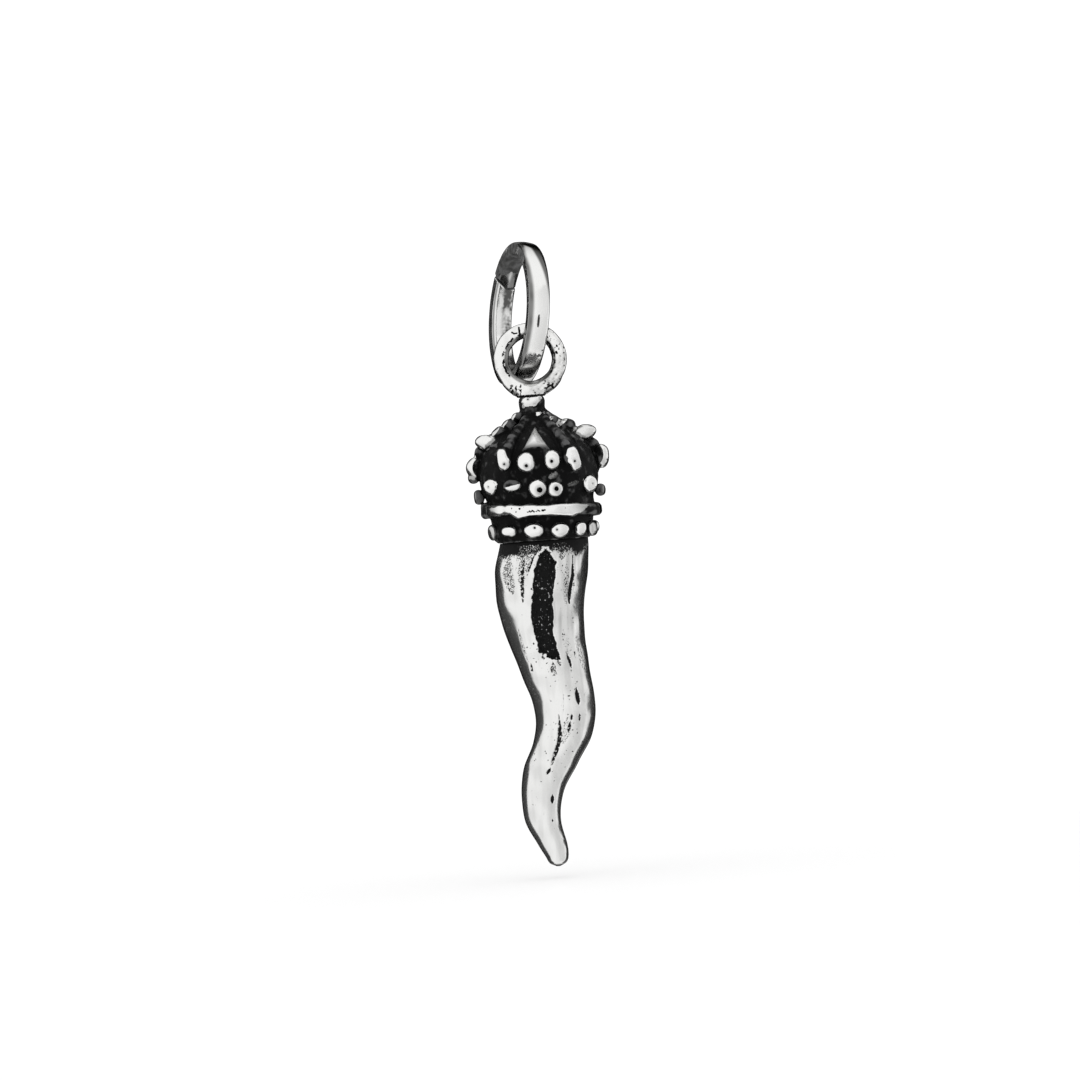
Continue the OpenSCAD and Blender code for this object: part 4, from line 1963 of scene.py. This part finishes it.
@dataclass
class Horn:
    """The wavy horn with its long recess.

    Attributes:
        top: How far its top lies under the middle of the loop's eye.
        length: Its length.
        wide: Its width at its widest.
        depth: Its depth as a share of its width.
        recess_deep: Depth of the long recess.
        top_rise: How far the horn's top edge rises towards the crown.
        tip_crowding: How much closer the sections stand towards the tip.
        front_crowding: How much closer the points stand on the front.
        neck: Size of the tenon's root as a share of the horn's top.
        neck_up: How far the tenon's root rises into the crown.
    """

    top: float = 12.7806
    length: float = 22.749
    wide: float = 6.6
    depth: float = 0.895
    recess_deep: float = 0.28
    top_rise: float = 0.045
    tip_crowding: float = 1.08
    front_crowding: float = 0.075
    neck: float = 0.94
    neck_up: float = 0.4

    SECTIONS = np.array([
        [0.00, 0.000, 0.470], [0.09, -0.045, 0.500], [0.20, -0.078, 0.460], [0.31, -0.040, 0.406],
        [0.43, 0.042, 0.357], [0.53, 0.092, 0.324], [0.61, 0.040, 0.309], [0.69, -0.106, 0.290],
        [0.77, -0.212, 0.228], [0.85, -0.231, 0.193], [0.93, -0.150, 0.156], [0.97, -0.108, 0.122],
        [0.99, -0.102, 0.088], [1.00, -0.102, 0.020],
    ])
    LEFT = np.array([
        [0.027, 0.04], [0.042, -0.075], [0.092, -0.175], [0.17, -0.194], [0.228, -0.271], [0.268, -0.278],
        [0.308, -0.263], [0.344, -0.317], [0.352, -0.20], [0.358, -0.19], [0.369, -0.126], [0.376, 0.0],
    ])
    RIGHT = np.array([
        [0.027, 0.05], [0.035, 0.144], [0.066, 0.307], [0.116, 0.296], [0.174, 0.265], [0.234, 0.272],
        [0.284, 0.192], [0.312, 0.229], [0.364, 0.223], [0.376, 0.0],
    ])
    FADE = np.array([
        [-1.0, 0.034, 1.0], [-0.93, 0.036, 1.0], [-0.6, 0.036, 1.0], [-0.54, 0.044, 0.7],
        [-0.15, 0.044, 0.66], [0.0, 0.03, 0.8], [0.12, 0.036, 0.8], [0.3, 0.034, 0.76],
        [0.5, 0.036, 0.8], [0.6, 0.03, 0.95], [0.7, 0.04, 1.0], [0.84, 0.042, 1.0], [0.9, 0.03, 0.9],
        [1.0, 0.02, 0.8],
    ])
    STROKES = (
        Stroke(((0.03, -0.74), (0.09, -0.73), (0.15, -0.64)), 0.42, 0.02, 0.15, 0.56),
        Stroke(((0.02, -0.42), (0.08, -0.44), (0.14, -0.43)), 0.3, 0.02, 0.15, 0.54),
        Stroke(((0.055, -0.41), (0.12, -0.42), (0.181, -0.42)), 0.15, 0.05, 0.35),
        Stroke(((0.02, -0.26), (0.05, -0.28), (0.09, -0.34)), 0.3, 0.02, 0.15, 0.54),
        Stroke(((0.037, -0.17), (0.06, -0.23), (0.1, -0.31)), 0.09, 0.05, 0.3, 0.9),
        Stroke(((0.05, 0.65), (0.11, 0.68), (0.15, 0.66), (0.195, 0.66)), 0.14, 0.12),
        Stroke(((0.06, 0.53), (0.12, 0.54), (0.2, 0.57)), 0.26, 0.02, 0.15, 0.5),
        Stroke(((0.035, 0.42), (0.058, 0.43)), 0.26, 0.02, 0.3, 0.7),
        Stroke(((0.345, 0.44), (0.37, 0.47), (0.392, 0.475)), 0.12, 0.06, 0.15),
        Stroke(((0.37, 0.0), (0.385, -0.02), (0.41, -0.04)), 0.2, 0.03, 0.2, 0.6),
        Stroke(((0.365, 0.16), (0.385, 0.17)), 0.2, 0.03, 0.3, 0.62),
        Stroke(((0.345, -0.22), (0.362, -0.25)), 0.16, 0.03, 0.3, 0.66),
        Stroke(((0.319, -0.58), (0.322, -0.58)), 0.06, 0.05),
        Stroke(((0.26, -0.65), (0.31, -0.66), (0.36, -0.69)), 0.13, 0.005, 0.3, 0.5),
        Stroke(((0.37, -0.63), (0.40, -0.69)), 0.07, 0.05, 0.5),
        Stroke(((0.387, -0.11), (0.403, -0.11)), 0.06, 0.05),
        Stroke(((0.455, 0.49), (0.48, 0.475), (0.505, 0.47)), 0.17, 0.09),
        Stroke(((0.451, 0.084), (0.49, 0.01), (0.531, -0.085)), 0.022, 0.02, 0.3, 0.7),
        Stroke(
            ((0.533, -0.231), (0.57, -0.193), (0.61, -0.114), (0.646, -0.06), (0.684, 0.018)), 0.17, 0.1, 0.36
        ),
        Stroke(((0.694, 0.01), (0.712, -0.02)), 0.15, 0.06),
        Stroke(((0.534, 0.215), (0.552, 0.195)), 0.1, 0.05, 0.2),
        Stroke(((0.556, 0.165), (0.588, 0.135)), 0.12, 0.05, 0.35),
        Stroke(((0.535, 0.08), (0.62, 0.05)), 0.42, 0.005, 0.2, 0.46),
        Stroke(((0.533, 0.465), (0.556, 0.465)), 0.09, 0.04, 0.3),
        Stroke(((0.592, 0.466), (0.595, 0.466)), 0.06, 0.04),
        Stroke(((0.776, 0.5), (0.803, 0.55)), 0.13, 0.08),
        Stroke(((0.852, 0.53), (0.862, 0.53)), 0.06, 0.05),
        Stroke(((0.286, 0.43), (0.289, 0.43)), 0.07, 0.05),
        Stroke(((0.27, 0.46), (0.36, 0.52)), 0.4, 0.005, 0.3, 0.4),
        Stroke(((0.29, 0.76), (0.34, 0.8), (0.41, 0.84)), 0.22, 0.005, 0.3, 0.5),
        Stroke(((0.344, 0.67), (0.352, 0.67)), 0.06, 0.04),
        Stroke(((0.429, -0.09), (0.431, -0.09)), 0.05, 0.03),
        Stroke(((0.446, 0.20), (0.448, 0.20)), 0.05, 0.03),
    )

    # Where the recess starts and ends, the black top and the painted shade at the tip: shares of the length.
    # The hollow, its blackness and the lip round it: millimetres inside the recess's outline.
    RECESS = (0.026, 0.372)
    TOP_BLACK = (0.006, 0.016)
    FADE_SOFT = (-0.03, 0.018)
    LIP_TOP = (0.03, 0.1)
    TIP = (0.99, 0.996)
    HOLLOW = (-0.02, 0.16)
    HOLLOW_BLACK = (-0.03, 0.04)
    LIP = (-0.32, -0.16, -0.12, -0.02)

    def smooth(self, share: Array, column: int) -> Array:
        """Gives a column of the sections on a smooth curve through them.

        Args:
            share: Shares of the horn's length.
            column: The column of the table of sections.

        Returns:
            The column's values there.
        """
        rows = self.SECTIONS
        s, v = rows[:, 0], rows[:, column]
        slope = np.empty(len(s))
        slope[1:-1] = (v[2:] - v[:-2]) / (s[2:] - s[:-2])
        slope[[0, -1]] = (v[[1, -1]] - v[[0, -2]]) / (s[[1, -1]] - s[[0, -2]])
        i = np.clip(np.searchsorted(s, share, side="right") - 1, 0, len(s) - 2)
        span = s[i + 1] - s[i]
        t = (share - s[i]) / span
        return (
            (2 * t**3 - 3 * t**2 + 1) * v[i]
            + (t**3 - 2 * t**2 + t) * slope[i] * span
            + (3 * t**2 - 2 * t**3) * v[i + 1]
            + (t**3 - t**2) * slope[i + 1] * span
        )

    def recess(self, share: Array, across: Array, half: Array, fray: Array) -> Array:
        """Gives how far places lie inside the recess, in millimetres.

        Args:
            share: Shares of the horn's length.
            across: Places across the horn, as shares of its half width.
            half: Half the width there.
            fray: Unevenness of the recess's outline.

        Returns:
            Distances, positive inside the recess.
        """
        left, right = table_at(share, self.LEFT), table_at(share, self.RIGHT)
        inside = np.minimum(across - left, right - across) * half
        low = self.RECESS[1] + 0.014 * fray - 0.022 * smoothstep(-across, -0.02, 0.1)
        ends = np.minimum(share - self.RECESS[0], low - share) * self.length
        return np.minimum(inside, ends) + 0.05 * fray

    def stroke(self, mark: Stroke, share: Array, across: Array, half: Array) -> Array:
        """Gives how strongly a mark covers places, from 0 to 1.

        Args:
            mark: The mark.
            share: Shares of the horn's length.
            across: Places across the horn, as shares of its half width.
            half: Half the width there.

        Returns:
            Values from 0 to 1.
        """
        here = np.stack([share * self.length, across * half], axis=-1)
        stops = np.array(mark.line)
        half_at = self.wide * self.smooth(stops[:, 0], 2)
        stops = np.stack([stops[:, 0] * self.length, stops[:, 1] * half_at], axis=1)
        best, along = np.full(share.shape, np.inf), np.zeros(share.shape)
        for k, (a, b) in enumerate(zip(stops, stops[1:])):
            t, gap = from_line(here, a, b)
            along = np.where(gap < best, (k + t) / (len(stops) - 1), along)
            best = np.minimum(best, gap)
        taper = np.clip(1.25 - 1.1 * np.abs(2.0 * along - 1.15) ** 1.6, 0.2, 1.0)
        return fall(best, mark.half * 0.5 * taper, mark.half * 1.3 * taper)

    def tarnish(self, share: Array, across: Array, place: Array) -> Array:
        """Gives the painted shade on the polished metal: painted reflections as soft streaks along the horn,
        darker on the right of its upper half and at the tip, and uneven tone.

        Args:
            share: Shares of the horn's length.
            across: Places across the horn, as shares of its half width.
            place: The places in millimetres.

        Returns:
            Values from 0 to 1.
        """
        drawn = place * np.array([1.0, 1.0, 0.12])
        streak = smoothstep(Wobble(0.5, 0.5, seed=51).at(drawn), -0.2, 0.9)
        cloud = smoothstep(Wobble(0.5, 1.6, seed=52).at(place), -0.3, 0.9)
        # Painted shade: darker on the right of the upper half and at the tip.
        right = smoothstep(across, 0.1, 0.5) * fall(share, 0.3, 0.55)
        tip = 0.8 * smoothstep(share, *self.TIP)
        return np.clip(0.05 + 0.22 * streak * (0.35 + right) + 0.1 * cloud + tip, 0, 1)

    def carve(
        self, s: Array, across: Array, half: Array, front: Array, place: Array
    ) -> tuple[Array, dict[str, Array]]:
        """Works out the recess, the marks and the blackened top.

        Args:
            s: Shares of the horn's length.
            across: Places across the horn, as shares of its half width.
            half: Half the width there.
            front: Which places face the front.
            place: The places on the plain horn.

        Returns:
            How deep the surface is cut, and the masks by name.
        """
        fray = Wobble(0.6, 0.5, seed=21).at(place)
        fine = Wobble(0.5, 0.2, seed=22).at(place)
        inside = self.recess(s, across, half, fray)
        lip = window(inside, *self.LIP) * front * fall(s, *self.LIP_TOP)
        cut = smoothstep(inside, *self.HOLLOW) * front * (self.recess_deep + 0.06 * fine) - 0.02 * lip
        dark = smoothstep(inside, *self.HOLLOW_BLACK) * front
        for mark in self.STROKES:
            cover = self.stroke(mark, s, across, half) * front
            cover = np.clip(cover * (1 - mark.broken * (0.5 + 1.2 * fine)), 0, 1)
            cut = cut + mark.deep * cover
            dark = np.maximum(dark, cover * mark.dark * (1 - 0.9 * lip))
        edge = np.where(front, table_at(across, self.FADE), 0.035) + 0.006 * fray + 0.004 * fine
        black = table_at(np.where(front, across, 1.0), self.FADE, 2)
        black = np.maximum(black, fall(s, *self.TOP_BLACK))
        dark = np.maximum(dark, black * smoothstep(edge - s, *self.FADE_SOFT) * (1 - 0.6 * lip))
        wear = smoothstep(inside, 0.05, 0.2) * front * smoothstep(fine, -0.3, 0.5)
        return cut, {"polish": 1 - dark, "shade": self.tarnish(s, across, place), "wear": wear}

    def build(self) -> bpy.types.Object:
        """Makes the horn in its finish.

        Returns:
            The horn's piece.
        """
        rings, sides = ((430, 220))
        share = 1 - (1 - np.linspace(0, 1, rings)) ** self.tip_crowding
        u = np.arange(sides) / sides - 0.5
        off = 2 * math.pi * (u - self.front_crowding * np.sin(2 * math.pi * u))
        s, turn = np.meshgrid(share, 1.5 * math.pi + off, indexing="ij")
        sway, half = self.wide * self.smooth(s, 1), self.wide * self.smooth(s, 2)
        across, deep = np.cos(turn), np.sin(turn)
        place = np.stack([sway + half * across, half * self.depth * deep, -s * self.length], axis=-1)
        cut, looks = self.carve(s, across, half, deep < 0, place)
        wave = Wobble(0.02, 2.2, seed=23).at(place) * np.clip((1 - s) * 12, 0, 1)
        inset = (cut + 0.02 + wave) * np.clip(half, 0, 1)
        z = -self.top - s * self.length + self.top_rise * (s == 0)
        body = np.stack([sway + (half - inset) * across, (half * self.depth - inset) * deep, z], axis=-1)
        neck = np.stack([body[0], body[0]]) * np.array([self.neck, self.neck, 1.0])
        neck[0, :, 2] += self.neck_up
        points = LOOP_CENTRE + np.concatenate([neck, body]).reshape(-1, 3)
        faces = [face[::-1] for face in tube_faces(rings + len(neck), sides)]
        bare = np.zeros((len(neck), sides))
        masks = {key: np.concatenate([bare, rows]).ravel() for key, rows in looks.items()}
        finish = Silver(
            "horn_silver", Tone.FLECKED, oxide=(0.01, 0.01, 0.01), worn=(0.5, 0.5, 0.5), grain=0.075,
            specks=0.15, ragged=0.75, polish_rough=0.17,
        )
        return finish.dress(make_piece("horn_look", points, faces, masks))


@dataclass
class Studio:
    """White floor and surround, dark cards for the edges, and the camera.

    Attributes:
        scale: Millimetres of the object to a pixel of the photograph.
        pixels: Width of the photograph.
        roll: How far the crown's axis leans in the picture, in degrees.
        centre: The point in the middle of the picture.
        distance: Distance of the camera.
        floor_z: Height of the floor.
        floor_half: Half the floor's width.
        floor_mirror: How strongly the floor mirrors.
        light: Brightness of the surround.
    """

    scale: float = 0.07
    pixels: int = 1080
    roll: float = 4.3
    centre: Array = field(default_factory=lambda: np.array([-0.24, -2.93, -20.01]))
    distance: float = 420.0
    floor_z: float = -43.7
    floor_half: float = 1500.0
    floor_mirror: float = 0.07
    light: float = 1.1

    LEFT = [
        (-150, -82, -160), (-66, -80, -160), (-55, -82, -160), (-48, -84, -160), (-42, -84, -160),
        (-38, -89, -160), (-34, -90, -160), (-30, -91, -160), (-27, -93, -160), (-22, -98, -160),
        (-17, -107, -160), (-13, -113, -160), (-10, -114, -139), (-4, -114, -139), (-1, -113, -160),
        (60, -114, -160),
    ]
    RIGHT = [
        (-150, 97, 146), (-58, 97, 146), (-50, 100, 148), (-45, 106, 150), (-41, 109, 150), (-39, 104, 150),
        (-37.5, 91, 150), (-36, 87, 152), (-34.5, 88, 152), (-33, 97, 150), (-31, 107, 150), (-27, 109, 150),
        (-24, 118, 150), (-19, 122, 150), (60, 122, 150),
    ]
    BACK = [(-60, 158, 202), (-20, 152, 208), (60, 158, 202)]
    GREY = ((14, 22, 1.04), (22, 32, 0.97), (32, 44, 0.92), (44, 84, 0.86))

    def camera(self) -> None:
        """Places the camera at the photograph's angle."""
        lens = bpy.data.cameras.new("camera")
        lens.sensor_width = 36.0
        lens.lens = self.distance * 36.0 / (self.scale * self.pixels)
        lens.clip_start = 0.01
        lens.clip_end = 50.0
        eye = bpy.data.objects.new("camera", lens)
        bpy.context.scene.collection.objects.link(eye)
        turn = math.radians(self.roll)
        right = Vector((math.cos(turn), 0.0, -math.sin(turn)))
        up = Vector((math.sin(turn), 0.0, math.cos(turn)))
        back = Vector((0.0, -1.0, 0.0))
        pose = Matrix((right, up, back)).transposed().to_4x4()
        pose.translation = Vector(self.centre * MM) + back * self.distance * MM
        eye.matrix_world = pose
        bpy.context.scene.camera = eye

    def card(self, name: str, rows: list[tuple], shade: float, away: float = 55.0) -> None:
        """Adds an upright card that only reflections see.

        Args:
            name: The card's name.
            rows: Rows of height and of the azimuths of the card's two edges, in millimetres and degrees.
            shade: Its brightness.
            away: Its distance from the pendant's axis.
        """
        columns = 9
        points = [
            [away * math.sin(turn), LOOP_CENTRE[1] - away * math.cos(turn), height]
            for height, first, last in rows
            for turn in np.radians(np.linspace(first, last, columns))
        ]
        corners = [r * columns + k for r in range(len(rows) - 1) for k in range(columns - 1)]
        faces = [[a, a + 1, a + columns + 1, a + columns] for a in corners]
        piece = make_piece(name, np.array(points), faces, {})
        mat, tree, surface = new_material(name)
        light = tree.nodes.new("ShaderNodeEmission")
        light.inputs["Color"].default_value = (shade, shade, shade, 1.0)
        tree.links.new(light.outputs[0], surface)
        piece.data.materials.append(mat)
        piece.visible_camera = piece.visible_diffuse = piece.visible_shadow = False
        piece.visible_transmission = False

    def floor(self) -> None:
        """Adds the white floor, which mirrors faintly."""
        half, z = self.floor_half, self.floor_z
        points = np.array([[-half, -half, z], [half, -half, z], [half, half, z], [-half, half, z]])
        piece = make_piece("floor", points, [[0, 1, 2, 3]], {})
        mat, tree, surface = new_material("floor")
        both = tree.nodes.new("ShaderNodeMixShader")
        both.inputs["Fac"].default_value = self.floor_mirror
        for k, kind in enumerate(("Diffuse", "Glossy")):
            shader = tree.nodes.new(f"ShaderNodeBsdf{kind}")
            shader.inputs["Color"].default_value = WHITE
            shader.inputs["Roughness"].default_value = 0.14 * k
            tree.links.new(shader.outputs[0], both.inputs[1 + k])
        tree.links.new(both.outputs[0], surface)
        piece.data.materials.append(mat)
        piece.visible_glossy = False

    def build(self) -> None:
        """Sets up the light, the floor, the cards and the camera."""
        scene = bpy.context.scene
        scene.view_settings.view_transform = "Standard"
        scene.world = bpy.data.worlds.new("studio")
        scene.world.use_nodes = True
        sky = scene.world.node_tree.nodes["Background"]
        sky.inputs["Color"].default_value = WHITE
        sky.inputs["Strength"].default_value = self.light
        self.floor()
        self.card("card_left", self.LEFT, 0.07)
        self.card("card_right", self.RIGHT, 0.06)
        for k, (first, last, shade) in enumerate(self.GREY):
            rows = [(z, first + turn, last + turn) for z, turn in ((-150, 0), (-14, 0), (-11, 10), (60, 10))]
            self.card(f"card_grey_{k}", rows, shade, away=90.0)
        self.card("card_back", self.BACK, 0.05, away=90.0)
        self.camera()


def main() -> None:
    """Builds the pieces in order, then the studio."""
    logging.basicConfig(level=logging.INFO, format="%(message)s")
    parts = (
        (JumpRing(), "jump_ring", "ring", "ring_silver"),
        (HangingLoop(), "hanging_loop", "pendant", "cast_silver"),
        (Crown(), "crown", "pendant", "oxidised_silver"),
        (Horn(), "horn", "pendant", "horn_silver"),
    )
    for part, node, body, slot in parts:
        piece = part.build()
        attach(piece, body)
        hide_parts(node)
        low, high = (np.array(corner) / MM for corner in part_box(node))
        points = np.array([v.co for v in piece.data.vertices]) / MM
        over = max(float((low - points.min(axis=0)).max()), float((points.max(axis=0) - high).max()))
        log.info("%s: %d faces, out of its box by %.3f mm", piece.name, len(piece.data.polygons), over)
    Studio().build()


if __name__ == "__main__":
    main()
